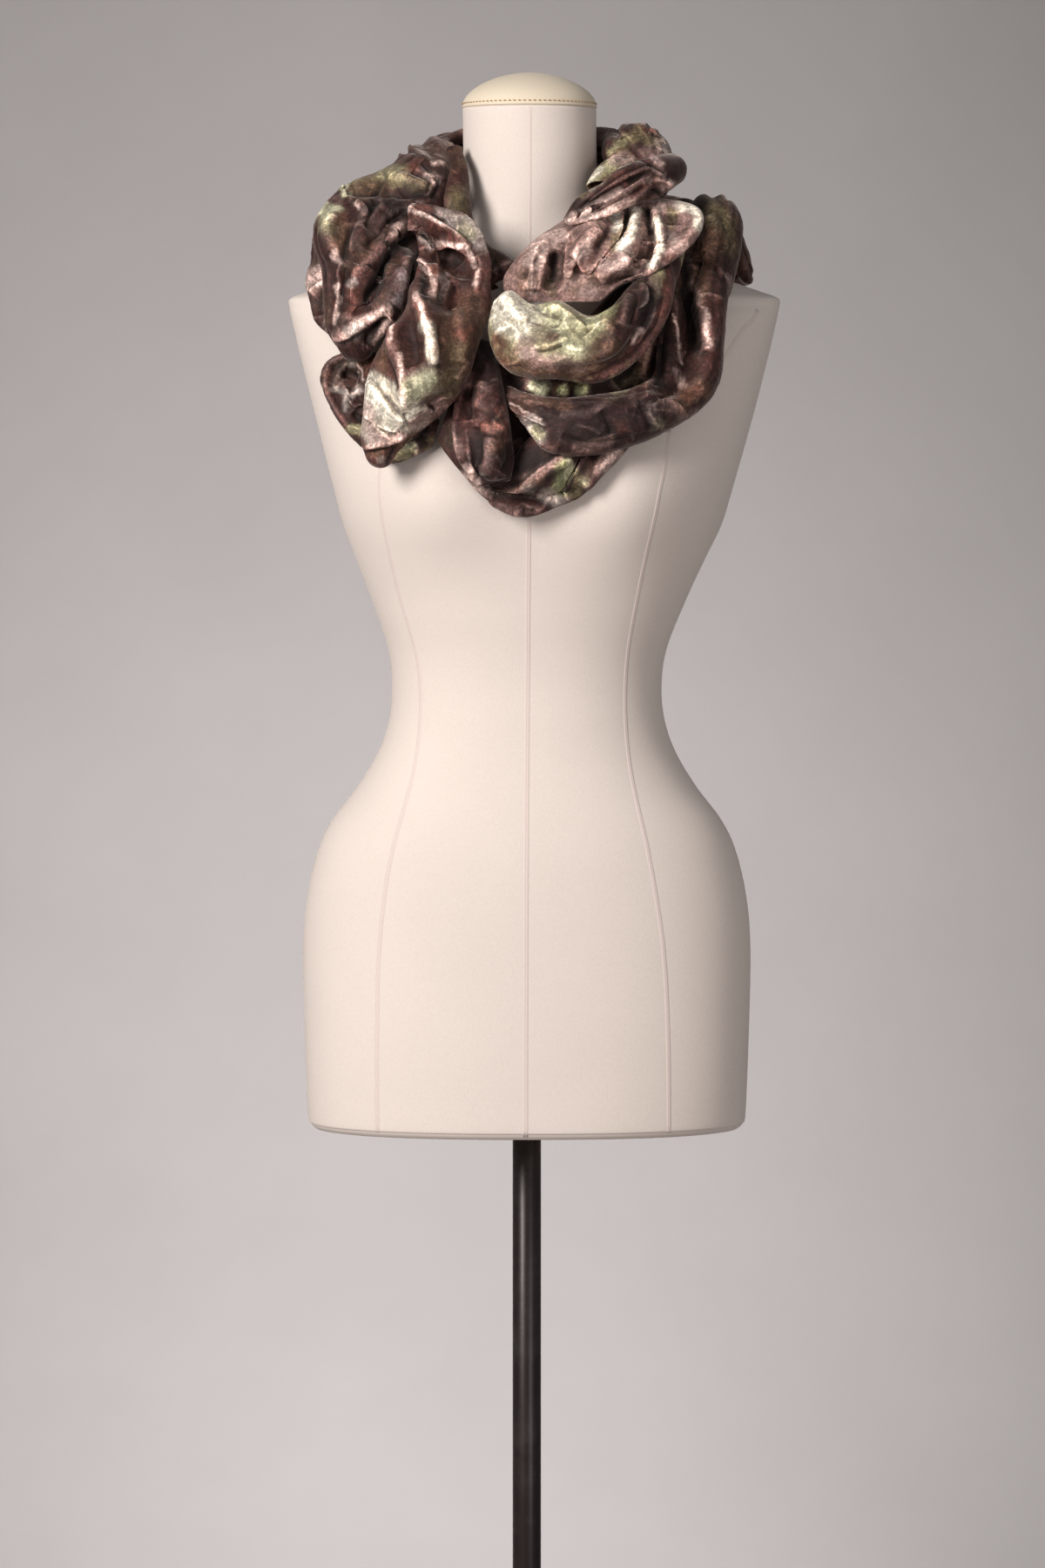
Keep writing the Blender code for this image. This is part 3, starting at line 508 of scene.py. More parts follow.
            (2.9, 3.6, 87, 1434, 92, 1440, 92, 1448, 88, 1453),
        ),
    },
    "inner_front_layer": {
        "roll": (
            (5.2, 4.8, 2, 1380, 3, 1369), (4.4, 4.8, 29, 1379, 29, 1366),
            (4.4, 4.2, 46, 1377, 46, 1366), (5.2, 4.8, 97, 1408, 92, 1394, 90, 1378),
        ),
        "valley": (
            (3.9, 4.9, 18, 1380, 20, 1366), (3.1, 3.9, 36, 1379, 36, 1365),
            (3.9, 4.9, 87, 1394, 79, 1383, 70, 1375),
        ),
    },
    "outer_right_band": {
        "roll": (
            (5.9, 4.6, 143, 1510, 147, 1498, 145, 1485, 138, 1471),
            (5.2, 3.4, 24, 1351, 44, 1352, 57, 1356, 68, 1366),
            (3.9, 3.8, 1, 1343, 5, 1335, 13, 1328, 24, 1323),
        ),
        "valley": (
            (3.4, 3.8, 136, 1518, 133, 1489, 129, 1475),
            (3.9, 4.4, 125, 1472, 125, 1442, 129, 1428, 132, 1400),
            (4.2, 4.7, 109, 1435, 106, 1421, 104, 1388, 100, 1373), (2.1, 2.4, 91, 1397, 86, 1373),
            (2.3, 2.6, 89, 1359, 97, 1339), (3.4, 3.8, 57, 1354, 64, 1344, 66, 1335),
            (2.6, 2.9, -1, 1347, 14, 1339), (4.4, 3.8, 26, 1334, 45, 1329, 64, 1329, 82, 1334),
        ),
        "crease": (
            (1.6, 1.3, 149, 1471, 159, 1456), (1.6, -1.3, 146, 1469, 155, 1454),
            (1.9, 1.3, 138, 1482, 147, 1478, 155, 1481), (1.2, 1, 137, 1436, 139, 1421, 138, 1405),
            (1.9, 1.5, 118, 1388, 122, 1383, 120, 1374), (1.6, 1.3, 133, 1377, 137, 1374, 138, 1370),
            (1.7, 1.4, 98, 1354, 106, 1355, 117, 1353), (1.9, -1.5, 83, 1367, 88, 1361, 86, 1351),
            (1.8, -1.5, 78, 1354, 89, 1357, 94, 1354), (1.9, 1.4, -3, 1363, 17, 1359, 37, 1359),
            (1.9, 1.3, 37, 1343, 51, 1340, 57, 1335), (1.7, 1.4, 95, 1366, 109, 1366),
        ),
        "lip": (
            (2.3, 2.6, 155, 1442, 143, 1445, 138, 1443), (2.6, 2.9, 126, 1350, 111, 1361, 97, 1358),
            (3.1, 3.5, -17, 1368, -12, 1358, 17, 1342),
        ),
        "ridge": (
            (5.2, 5.4, 134, 1471, 134, 1454, 142, 1414, 141, 1399),
            (3.1, 3.2, 117, 1447, 117, 1421, 122, 1389), (2.9, 3, 98, 1401, 93, 1374, 94, 1364),
            (2.6, 2.7, 92, 1355, 103, 1341), (2.6, 2.7, 64, 1366, 92, 1392),
        ),
    },
    "right_fan": {
        "valley": (
            (2.9, 4.5, 95, 1515, 98, 1482, 88, 1459), (3.9, 6.1, 114, 1510, 114, 1500),
            (3.4, 5.3, 80, 1513, 74, 1493, 48, 1465), (1.8, 2.8, 65, 1499, 54, 1481),
            (2.3, 3.6, 58, 1507, 49, 1505, 31, 1494), (2.9, 4.5, 32, 1488, 27, 1477, 22, 1449),
            (3.9, 6.1, 24, 1481, 15, 1448), (3.4, 5, 9, 1475, 2, 1466, -2, 1455),
            (2.3, 3.6, 46, 1482, 40, 1474, 37, 1465, 40, 1460),
            (3.6, 4.6, 89, 1496, 93, 1489, 90, 1476, 84, 1466),
        ),
        "roll": (
            (3.9, 5.6, 99, 1516, 104, 1490, 102, 1476, 91, 1458),
            (4.7, 4.6, 119, 1514, 130, 1512, 134, 1504, 128, 1492, 119, 1482, 107, 1474),
            (4.4, 6.3, 86, 1515, 80, 1493, 73, 1483, 65, 1474, 43, 1462),
            (3.4, 4.2, 18, 1482, 10, 1460, 8, 1448), (4.7, 5.4, 58, 1496, 43, 1481, 37, 1472),
            (3.9, 4.2, 80, 1475, 73, 1467, 54, 1457),
        ),
        "crease": (
            (1.7, -1.6, 114, 1477, 130, 1492), (1.6, 1.5, 5, 1470, 3, 1444),
            (1.4, -1.5, 7, 1466, 8, 1455, 6, 1444), (1.7, 1.6, 43, 1455, 51, 1459, 65, 1457),
        ),
        "lip": (
            (4.4, 6.9, 43, 1461, 67, 1489, 72, 1499, 72, 1507, 69, 1511),
            (2.6, 3.3, 32, 1457, 35, 1467, 40, 1470, 43, 1463),
        ),
        "ridge": (
            (2.9, 4.2, 63, 1507, 58, 1501, 43, 1498, 35, 1492, 31, 1483, 29, 1455),
            (2.6, 3.7, 18, 1486, 9, 1482, 1, 1458, 1, 1448),
        ),
        "broad": (
            (7.8, -5, 34, 1448, 58, 1449, 78, 1455),
        ),
    },
    "twist_wrap": {
        "ridge": (
            (2.2, 4.7, 38, 1524, 42, 1533, 76, 1552), (2, 3.2, 48, 1517, 61, 1528, 97, 1546),
            (2.2, 4.3, 32, 1501, 97, 1538),
            (2.1, 3.6, 39, 1499, 53, 1504, 80, 1518, 90, 1524, 96, 1531),
            (2.2, 3.6, 65, 1553, 76, 1556, 89, 1556, 100, 1553),
            (2.1, 3.6, 92, 1546, 102, 1542, 109, 1535, 111, 1529),
        ),
        "valley": (
            (1.4, 3.3, 43, 1514, 72, 1538, 101, 1550), (1.4, 3.3, 38, 1510, 79, 1535, 99, 1543),
            (1.4, 3.3, 40, 1503, 92, 1530), (2.1, 5, 97, 1529, 105, 1526), (2, 3, 95, 1549, 109, 1541),
            (1.7, 4, 69, 1549, 80, 1552, 93, 1551, 105, 1547),
        ),
        "crease": (
            (1.2, 1.2, 58, 1535, 73, 1542), (1.2, -1.2, 65, 1533, 69, 1529, 73, 1532),
            (1.2, -1.2, 79, 1539, 81, 1535, 85, 1537),
        ),
        "roll": (
            (2.3, 3.4, 99, 1535, 106, 1535, 108, 1530, 104, 1524, 95, 1521),
            (2.6, 3, 109, 1537, 114, 1531, 115, 1522),
        ),
    },
    "right_neck_loop": {
        "broad": (
            (9.1, 10.5, 62, 1568, 68, 1578, 78, 1584, 90, 1584, 101, 1579, 107, 1571),
        ),
        "roll": (
            (5.2, 3.8, 69, 1563, 80, 1569, 95, 1571, 104, 1565),
        ),
        "crease": (
            (2.4, 2.2, 66, 1554, 73, 1557, 78, 1553, 85, 1556),
        ),
        "valley": (
            (3.1, 3.9, 69, 1557, 101, 1560),
        ),
    },
    "neck_back_band": {
        "lip": (
            (3.4, 1.9, 62, 1584, 88, 1583, 104, 1575, 111, 1565),
        ),
    },
}

# Base dye of each stretch and its patches, laid in this order: dye, radius, strength and
# the x and z of the points of its line or spot.
# Part of this table is painted light, not dye: the dark umber lines laid along valleys are painted
# shade, and the thin rose, silver and cream lines laid along crests and lips are painted highlights.
DYE_AND_PAINTED_LIGHT_PATCHES = {
    "left_swirl": ("plum", (
        ("wine", 14, 0.5, -119, 1470, -136, 1439), ("olive", 10, 0.8, -139, 1535, -125, 1536),
        ("brown", 6, 0.6, -136, 1529, -125, 1531), ("sage", 7, 0.7, -112, 1544, -99, 1541),
        ("lime", 3, 0.8, -145, 1534, -143, 1526), ("lime", 5, 0.8, -158, 1515, -161, 1506, -152, 1513),
        ("sage", 6, 0.6, -160, 1502, -152, 1497), ("brown", 7, 0.7, -148, 1505, -150, 1487),
        ("brown", 5, 0.5, -146, 1493, -143, 1481), ("rose", 3, 0.8, -151, 1480, -147, 1473),
        ("rose", 2, 0.7, -136, 1519, -131, 1515), ("umber", 5, 0.8, -120, 1522, -124, 1514),
        ("olive", 5, 0.6, -107, 1537, -82, 1533), ("rose", 4, 0.6, -78, 1540, -73, 1537),
        ("umber", 7, 0.9, -106, 1515, -98, 1512, -108, 1507), ("umber", 4, 0.8, -88, 1526, -75, 1527),
        ("rose", 3, 0.5, -98, 1502, -106, 1495),
        ("umber", 5, 1, -97, 1487, -108, 1477, -119, 1451, -127, 1441),
        ("umber", 3, 0.6, -138, 1497, -142, 1477), ("plum", 5, 0.6, -143, 1463, -145, 1436),
        ("rose", 2, 0.8, -147, 1452, -152, 1422), ("silver", 3, 0.6, -138, 1453, -134, 1456),
        ("slate", 6, 0.6, -97, 1458, -96, 1443, -102, 1436), ("plum", 5, 0.8, -107, 1458, -108, 1447),
        ("brown", 4, 0.5, -104, 1470, -107, 1466), ("rose", 3, 0.8, -140, 1418, -108, 1433),
        ("silver", 5, 0.7, -140, 1413, -132, 1417), ("mauve", 5, 0.6, -150, 1414, -144, 1409),
        ("umber", 3, 1, -112, 1428, -124, 1411), ("rose", 3, 0.8, -108, 1428, -117, 1409),
        ("umber", 4, 1, -88, 1471, -89, 1435), ("rose", 2, 0.7, -73, 1549, -67, 1551, -61, 1548),
        ("umber", 6, 0.7, -59, 1550, -55, 1539), ("wine", 7, 0.5, -66, 1564, -63, 1570),
        ("rose", 3, 0.5, -64, 1568, -61, 1565), ("olive", 6, 0.7, -52, 1534, -55, 1520),
        ("rust", 5, 0.4, -93, 1544, -87, 1550), ("rust", 5, 0.4, -134, 1447, -138, 1434),
        ("brown", 5, 0.4, -124, 1487, -130, 1477),
    )),
    "left_shoulder_layer": ("plum", (
        ("rose", 8, 0.9, -175, 1457, -155, 1468), ("umber", 7, 0.6, -160, 1437),
        ("mauve", 4, 0.4, -167, 1447),
    )),
    "left_tongue": ("wine", (
        ("silver", 7, 0.9, -64, 1507, -41, 1496, -36, 1487), ("sage", 5, 0.5, -51, 1499, -44, 1492),
        ("umber", 2, 0.9, -83, 1509, -65, 1503), ("rose", 3, 0.7, -91, 1519, -93, 1513),
        ("rose", 2, 0.8, -88, 1510, -68, 1500), ("wine", 4, 0.8, -91, 1505, -57, 1489),
        ("rose", 2, 0.9, -72, 1486, -51, 1483, -44, 1476, -42, 1468),
        ("silver", 3, 0.7, -83, 1489, -76, 1485), ("umber", 9, 0.6, -63, 1472, -51, 1460),
        ("umber", 3, 0.8, -83, 1493, -77, 1489), ("rose", 2, 0.9, -85, 1472, -75, 1461),
        ("rust", 5, 0.5, -71, 1470, -66, 1461), ("silver", 3, 0.7, -65, 1459),
        ("rose", 2, 0.7, -39, 1463, -39, 1455), ("umber", 4, 1, -80, 1456, -79, 1446),
        ("rose", 3, 0.7, -72, 1457, -71, 1445), ("rose", 2, 0.8, -62, 1454, -66, 1441),
        ("brown", 8, 0.6, -44, 1442, -51, 1428), ("umber", 5, 0.6, -68, 1438, -61, 1449),
        ("rose", 2, 0.9, -86, 1445, -78, 1420), ("cream", 5, 0.7, -78, 1419, -71, 1394),
        ("brown", 8, 0.7, -61, 1425, -64, 1401), ("olive", 8, 0.6, -52, 1401, -57, 1384),
        ("plum", 7, 0.9, -90, 1417, -88, 1401), ("rose", 2, 0.8, -104, 1421, -105, 1408),
        ("rose", 2, 0.9, -100, 1396, -95, 1356), ("brown", 5, 0.7, -112, 1398, -114, 1384),
        ("rust", 5, 0.4, -52, 1411, -47, 1416), ("umber", 4, 0.6, -41, 1439, -40, 1401),
        ("plum", 4, 0.5, -83, 1389, -75, 1385), ("lime", 10, 0.8, -78, 1377, -86, 1371),
        ("lime", 4, 0.8, -91, 1367, -88, 1361), ("cream", 5, 1, -112, 1377, -99, 1358),
        ("olive", 6, 0.7, -66, 1374, -57, 1380),
        ("cream", 9, 1, -123, 1374, -110, 1351, -98, 1346, -87, 1350),
        ("cream", 6, 0.6, -127, 1364, -128, 1347, -123, 1334), ("rose", 6, 0.7, -125, 1354, -121, 1332),
        ("cream", 5, 0.9, -109, 1340, -85, 1348), ("mauve", 5, 0.9, -89, 1343, -67, 1359),
        ("umber", 2, 0.9, -76, 1358, -74, 1355), ("rose", 4, 0.8, -118, 1332, -108, 1331, -97, 1335),
        ("olive", 4, 0.7, -63, 1366, -56, 1370), ("brown", 5, 0.5, -120, 1320, -112, 1319),
        ("umber", 1, 0.8, -127, 1321, -108, 1327), ("silver", 3, 0.6, -113, 1316),
        ("umber", 2, 0.8, -109, 1313, -104, 1323),
    )),
    "left_lower_loop": ("plum", (
        ("wine", 3, 0.7, -156, 1383, -154, 1368, -139, 1339), ("rust", 6, 0.5, -128, 1394, -124, 1388),
        ("umber", 7, 0.9, -143, 1384, -135, 1382), ("rust", 4, 0.5, -138, 1377, -143, 1376),
        ("silver", 3, 0.8, -150, 1371, -144, 1367, -144, 1360),
        ("silver", 3, 0.9, -137, 1367, -131, 1371), ("silver", 3, 0.5, -138, 1391),
        ("umber", 3, 0.7, -136, 1354, -132, 1349), ("sage", 4, 0.8, -139, 1342, -129, 1339),
        ("rose", 1, 0.7, -134, 1393, -129, 1380), ("umber", 6, 1, -82, 1343, -81, 1334),
        ("sage", 5, 0.8, -102, 1321, -92, 1324), ("lime", 3, 0.7, -95, 1328, -89, 1325),
        ("olive", 4, 0.6, -77, 1325, -72, 1330), ("umber", 3, 0.7, -85, 1330),
    )),
    "throat_fold": ("plum", (
        ("olive", 8, 0.7, -54, 1524, -55, 1513), ("umber", 8, 0.7, -34, 1471),
        ("mauve", 3, 0.4, -23, 1467, -15, 1471), ("plum", 5, 0.5, -21, 1460),
    )),
    "centre_drape": ("aubergine", (
        ("wine", 12, 0.6, -47, 1372, -44, 1354), ("rust", 4, 0.7, -36, 1340, -17, 1342),
        ("rust", 3, 0.4, -20, 1358, -18, 1347), ("wine", 5, 0.6, -51, 1339, -52, 1321),
        ("mauve", 6, 0.8, -63, 1334, -56, 1323), ("plum", 8, 0.6, -26, 1323, -30, 1304),
        ("rose", 5, 0.5, -49, 1308, -41, 1298), ("wine", 10, 0.5, -33, 1358),
        ("brown", 7, 0.4, -22, 1328), ("umber", 5, 0.6, -13, 1320),
    )),
    "bottom_loop": ("plum", (
        ("mauve", 4, 0.8, -31, 1291, -12, 1294, 24, 1316), ("brown", 3, 0.5, -14, 1293, 10, 1302),
        ("green", 7, 1, 29, 1308, 26, 1294), ("lime", 3, 0.6, 33, 1313, 31, 1302),
        ("silver", 5, 0.6, 14, 1289, 28, 1283), ("umber", 4, 0.6, 14, 1300, 24, 1304),
        ("olive", 5, 0.9, 41, 1301, 37, 1290), ("lime", 4, 0.5, 45, 1300),
        ("brown", 4, 0.6, 48, 1313, 47, 1301), ("mauve", 6, 0.8, 58, 1310, 65, 1321),
        ("rose", 4, 0.7, 70, 1323, 62, 1308), ("plum", 7, 0.9, -22, 1283, -3, 1278),
        ("mauve", 3, 0.5, -6, 1274, 10, 1277), ("rose", 5, 0.6, -50, 1302, -39, 1293),
        ("silver", 5, 0.5, 1, 1292), ("umber", 11, 1, -6, 1316, -22, 1304),
        ("umber", 8, 1, 14, 1321, 3, 1316),
    )),
    "front_band": ("sage", (
        ("lime", 10, 0.8, -3, 1430, 30, 1414, 48, 1419), ("cream", 3, 0.5, 5, 1434, 14, 1428),
        ("rose", 5, 0.5, -6, 1401, 11, 1394, 30, 1392), ("mauve", 6, 0.6, -3, 1390, 24, 1385, 51, 1392),
        ("cream", 13, 1, -21, 1444, -6, 1424), ("cream", 5, 0.6, -24, 1427, -21, 1416),
        ("lime", 4, 0.4, -13, 1438), ("brown", 7, 0.9, -22, 1407, -20, 1395),
        ("rust", 4, 0.5, -13, 1390, -10, 1401), ("mauve", 8, 0.6, -1, 1406, 9, 1393),
        ("plum", 5, 0.8, 20, 1413, 23, 1410), ("brown", 6, 0.6, 10, 1417, 18, 1409),
        ("lime", 5, 0.6, 18, 1432, 29, 1428), ("green", 6, 0.9, 62, 1431, 69, 1437),
        ("sage", 9, 0.7, 37, 1412, 57, 1412), ("lime", 7, 0.6, 34, 1402, 44, 1398),
        ("brown", 7, 0.9, -17, 1388, 30, 1382, 57, 1389), ("mauve", 5, 0.6, 5, 1389, 42, 1390),
        ("rose", 4, 0.5, -3, 1396, 5, 1401), ("brown", 8, 0.8, 68, 1420, 63, 1404, 51, 1398),
        ("plum", 10, 1, 76, 1449, 77, 1434, 71, 1410, 64, 1400),
        ("aubergine", 10, 1, 90, 1466, 87, 1420, 79, 1401),
        ("plum", 10, 1, 113, 1480, 114, 1456, 108, 1434, 90, 1400),
        ("mauve", 4, 0.5, 100, 1457, 97, 1435), ("brown", 6, 0.7, 64, 1401, 75, 1406),
        ("plum", 9, 1, 85, 1446, 86, 1428, 78, 1411), ("umber", 7, 1, 94, 1442, 93, 1424),
        ("rose", 3, 0.6, 82, 1408, 87, 1417), ("umber", 4, 0.9, 90, 1404, 100, 1420, 105, 1439),
        ("wine", 5, 1, 43, 1377, 74, 1390, 97, 1410, 105, 1425, 114, 1463),
        ("plum", 4, 0.6, 75, 1434, 72, 1420),
    )),
    "inner_front_layer": ("plum", (
        ("lime", 5, 1, 8, 1373, 13, 1372), ("brown", 4, 0.8, 22, 1372), ("green", 4, 0.9, 29, 1371),
        ("green", 5, 0.9, 43, 1372), ("brown", 2, 0.8, 36, 1372), ("umber", 8, 0.8, -10, 1376),
        ("umber", 15, 1, 46, 1455, 98, 1458), ("umber", 15, 0.9, 73, 1426, 93, 1426),
        ("umber", 5, 0.8, 58, 1376, 76, 1386), ("brown", 6, 0.7, 97, 1405, 92, 1389),
        ("plum", 8, 0.9, 99, 1419, 106, 1402, 104, 1383), ("olive", 4, 0.5, 86, 1383, 70, 1373),
    )),
    "outer_right_band": ("plum", (
        ("olive", 11, 0.8, 144, 1516, 153, 1501), ("umber", 7, 0.8, 137, 1523, 129, 1508),
        ("brown", 11, 0.9, 145, 1489, 134, 1471), ("olive", 5, 0.6, 161, 1498, 161, 1482),
        ("brown", 7, 0.8, 134, 1457, 135, 1443), ("rose", 3, 0.6, 132, 1456, 134, 1440),
        ("wine", 8, 0.8, 147, 1437, 146, 1409, 141, 1388), ("rose", 2, 0.7, 140, 1435, 141, 1403),
        ("umber", 5, 1, 125, 1472, 131, 1407), ("rose", 1, 0.7, 116, 1430, 122, 1390),
        ("wine", 3, 0.6, 121, 1436, 127, 1398), ("umber", 5, 1, 109, 1437, 103, 1374),
        ("rose", 3, 0.6, 117, 1385, 120, 1374), ("brown", 8, 0.7, 133, 1371, 119, 1361),
        ("silver", 5, 0.7, 94, 1355, 100, 1344), ("sage", 4, 0.7, 103, 1343),
        ("mauve", 4, 0.5, 105, 1358, 119, 1353), ("sage", 5, 0.7, 69, 1370, 74, 1374),
        ("brown", 7, 0.7, 95, 1397, 91, 1381), ("mauve", 3, 0.5, 83, 1366, 86, 1354),
        ("aubergine", 18, 1, 24, 1351, 57, 1344, 88, 1348), ("umber", 6, 0.8, 34, 1334, 64, 1334),
        ("umber", 5, 0.7, 64, 1340, 57, 1334), ("mauve", 4, 0.5, -10, 1368, 10, 1362),
        ("rose", 1, 0.8, -13, 1359, 11, 1346), ("silver", 7, 0.9, 2, 1343, 6, 1334),
        ("sage", 4, 0.8, 5, 1339, 9, 1334), ("wine", 4, 0.5, 70, 1347, 75, 1338),
        ("brown", 4, 0.5, -3, 1366, 30, 1359), ("rust", 5, 0.4, 126, 1366, 133, 1370),
        ("mauve", 4, 0.4, 64, 1331, 37, 1325),
    )),
    "right_fan": ("mauve", (
        ("rose", 8, 0.9, 24, 1490, 12, 1482, 5, 1470), ("rose", 4, 0.6, 0, 1453, 3, 1446),
        ("brown", 5, 0.6, -5, 1460, -2, 1449), ("umber", 3, 1, 22, 1475, 20, 1457),
        ("olive", 4, 0.6, 16, 1455, 20, 1447), ("wine", 3, 0.5, 27, 1477, 26, 1456),
        ("mauve", 6, 0.7, 37, 1490, 65, 1496), ("plum", 4, 0.4, 34, 1496, 43, 1489),
        ("rose", 4, 0.7, 48, 1486, 37, 1471), ("wine", 3, 0.7, 35, 1464, 39, 1470, 42, 1464),
        ("rose", 5, 0.8, 58, 1469, 71, 1467, 78, 1476), ("rose", 7, 0.5, 37, 1453, 46, 1449),
        ("brown", 4, 0.5, 34, 1446, 51, 1459), ("olive", 3, 0.9, 78, 1504, 66, 1482),
        ("umber", 2, 0.7, 80, 1512, 77, 1500), ("wine", 3, 0.7, 61, 1492, 48, 1470),
        ("cream", 3, 0.9, 70, 1508, 72, 1500, 69, 1496),
        ("cream", 4, 0.9, 85, 1512, 80, 1492, 73, 1482), ("rose", 4, 0.6, 88, 1492, 93, 1486),
        ("umber", 3, 1, 92, 1512, 96, 1496), ("cream", 3, 0.9, 103, 1504, 102, 1476, 97, 1468),
        ("olive", 3, 0.8, 114, 1510, 114, 1500), ("rose", 5, 0.7, 110, 1530, 110, 1518, 101, 1515),
        ("cream", 6, 0.8, 123, 1515, 134, 1512, 136, 1501), ("mauve", 6, 0.6, 123, 1503, 126, 1496),
        ("rose", 5, 0.7, 114, 1487, 119, 1482), ("rust", 3, 0.4, 109, 1474, 118, 1480),
        ("mauve", 5, 0.5, 78, 1461, 87, 1470), ("silver", 5, 0.6, 110, 1492),
        ("plum", 5, 0.7, 68, 1455, 82, 1456),
    )),
    "twist_wrap": ("plum", (
        ("mauve", 6, 0.6, 65, 1554, 79, 1559, 93, 1559), ("brown", 5, 0.6, 58, 1549, 68, 1553),
        ("umber", 3, 0.6, 101, 1542, 109, 1535), ("rose", 3, 0.5, 99, 1556, 105, 1549),
        ("sage", 6, 1, 40, 1528, 58, 1542), ("cream", 4, 0.9, 53, 1539, 76, 1552),
        ("silver", 3, 0.7, 58, 1534, 51, 1530), ("wine", 3, 0.9, 58, 1527, 89, 1542),
        ("umber", 5, 0.8, 38, 1517, 42, 1511), ("umber", 2, 0.8, 79, 1534, 91, 1539),
        ("rose", 6, 1, 31, 1499, 73, 1522), ("mauve", 3, 0.7, 80, 1527, 96, 1538),
        ("rose", 3, 0.9, 42, 1499, 81, 1517), ("wine", 3, 0.7, 73, 1516, 94, 1531),
        ("umber", 3, 0.9, 98, 1529, 104, 1526), ("mauve", 3, 0.6, 104, 1534, 107, 1530),
        ("rose", 3, 0.7, 113, 1533, 116, 1525), ("mauve", 3, 0.5, 101, 1546, 106, 1542),
        ("wine", 3, 0.5, 69, 1552, 77, 1550), ("umber", 2, 0.7, 43, 1514, 58, 1526),
    )),
    "right_neck_loop": ("brown", (
        ("sage", 6, 1, 35, 1530, 66, 1549), ("cream", 3, 0.8, 39, 1535, 59, 1546),
        ("olive", 5, 0.8, 72, 1564, 88, 1568, 102, 1565), ("lime", 4, 0.5, 91, 1564),
        ("rose", 5, 0.7, 69, 1553, 80, 1554), ("umber", 4, 0.8, 62, 1571, 59, 1553),
        ("plum", 5, 0.9, 94, 1556, 108, 1560),
    )),
    "neck_back_band": ("umber", (
        ("olive", 5, 0.9, 79, 1570, 89, 1575, 97, 1571), ("sage", 4, 0.6, 67, 1562, 76, 1572),
        ("rose", 3, 0.7, 104, 1570, 111, 1561, 113, 1551), ("umber", 3, 0.8, 67, 1577, 87, 1583),
        ("mauve", 4, 0.6, 94, 1560, 103, 1555), ("rust", 5, 0.8, 98, 1578),
        ("silver", 3, 0.6, 110, 1571, 112, 1561), ("olive", 4, 0.5, 104, 1570),
        ("plum", 8, 0.6, 75, 1582),
    )),
    "shoulder_back_band": ("umber", (
        ("plum", 7, 0.6, 172, 1482, 175, 1468),
    )),
}

# One row for each sheet of cloth: the stretches that it stands for; how far apart its stations are
# in front and behind, and how many points each has; the number and depth of its lengthwise pleats;
# the size of its crumples; the strength of its loose dyes; its seed; the radius of its rolled
# first end (0 where that end is plain); its flat size in metres; and how it is held.
Cloth = namedtuple("Cloth", "stands_for spacing behind count pleats depth crumple loose seed roll"
                            " flat held")
PIECES = {
    "neck_run": Cloth(("neck_back_band", "left_swirl"),
                      1.2, 2.4, 149, 13, 4.0, 0.85, 0.3, 11, 4.0, (0.13, 0.67), "draped"),
    "shoulder_run": Cloth(("left_shoulder_layer", "shoulder_back_band", "outer_right_band"),
                          1.25, 2.6, 107, 12, 4.2, 0.9, 0.3, 23, 0.0, (0.115, 1.0), "draped"),
    "left_tongue_cloth": Cloth(("left_tongue",), 1.0, 1.6, 131, 5, 1.6, 0.75, 0.25, 37, 3.5,
                               (0.12, 0.29), "draped"),
    "left_lower_loop_cloth": Cloth(("left_lower_loop",), 1.0, 1.6, 75, 4, 2.2, 0.8, 0.25, 41, 0.0,
                                   (0.08, 0.15), "draped"),
    "throat_fold_cloth": Cloth(("throat_fold",), 1.0, 1.6, 47, 4, 3.0, 0.8, 0.25, 53, 2.0,
                               (0.05, 0.155), "draped"),
    "centre_drape_cloth": Cloth(("centre_drape",), 0.9, 1.6, 75, 5, 2.4, 0.8, 0.25, 61, 0.0,
                                (0.085, 0.14), "draped"),
    "bottom_loop_cloth": Cloth(("bottom_loop",), 0.9, 1.6, 75, 6, 2.6, 0.8, 0.25, 71, 0.0,
                               (0.085, 0.195), "draped"),
    "front_band_cloth": Cloth(("front_band",), 0.95, 1.6, 111, 5, 1.6, 0.7, 0.12, 83, 0.0,
                              (0.1, 0.275), "draped"),
    "inner_front_layer_cloth": Cloth(("inner_front_layer",), 1.4, 1.6, 91, 4, 2.0, 0.8, 0.25, 97,
                                     0.0, (0.12, 0.178), "draped"),
    "right_fan_cloth": Cloth(("right_fan",), 0.95, 1.6, 171, 6, 2.0, 0.8, 0.15, 101, 0.0,
                             (0.17, 0.17), "gathered"),
    "twist_wrap_cloth": Cloth(("twist_wrap",), 0.75, 1.6, 69, 7, 1.6, 0.5, 0.25, 113, 2.2,
                              (0.068, 0.165), "gathered"),
    "right_neck_loop_cloth": Cloth(("right_neck_loop",), 1.0, 1.6, 77, 5, 2.6, 0.8, 0.25, 127, 2.0,
                                   (0.085, 0.09), "draped"),
}

# The upper turn's right-hand end goes down into the twist (rows as in STRETCHES).
TUCK = ((111, -56, 1527, 96, -48, 1532, 6), (115, -46, 1534, 86, -40, 1541, 12),
        (117, -34, 1541, 76, -30, 1549, 19), (117, -22, 1548, 67, -18, 1556, 25))

# Loose dyes that drift over the cloth: dye, size of its clouds, and how high a cloud has to be.
LOOSE_DYES = (("wine", 42.0, 0.05), ("brown", 34.0, 0.18), ("mauve", 30.0, 0.25),
              ("olive", 46.0, 0.3), ("rose", 26.0, 0.38), ("umber", 30.0, 0.2))
LOOSE_BEHIND = 0.85            # their strength behind the form

# How strongly the painted highlights on crests and the painted shade in valleys show.
CREST_HIGHLIGHT_GAIN = 3.6
CREST_HIGHLIGHT_SHARE = 0.72
VALLEY_SHADE_GAIN = 3.6
VALLEY_SHADE_SHARE = 0.75

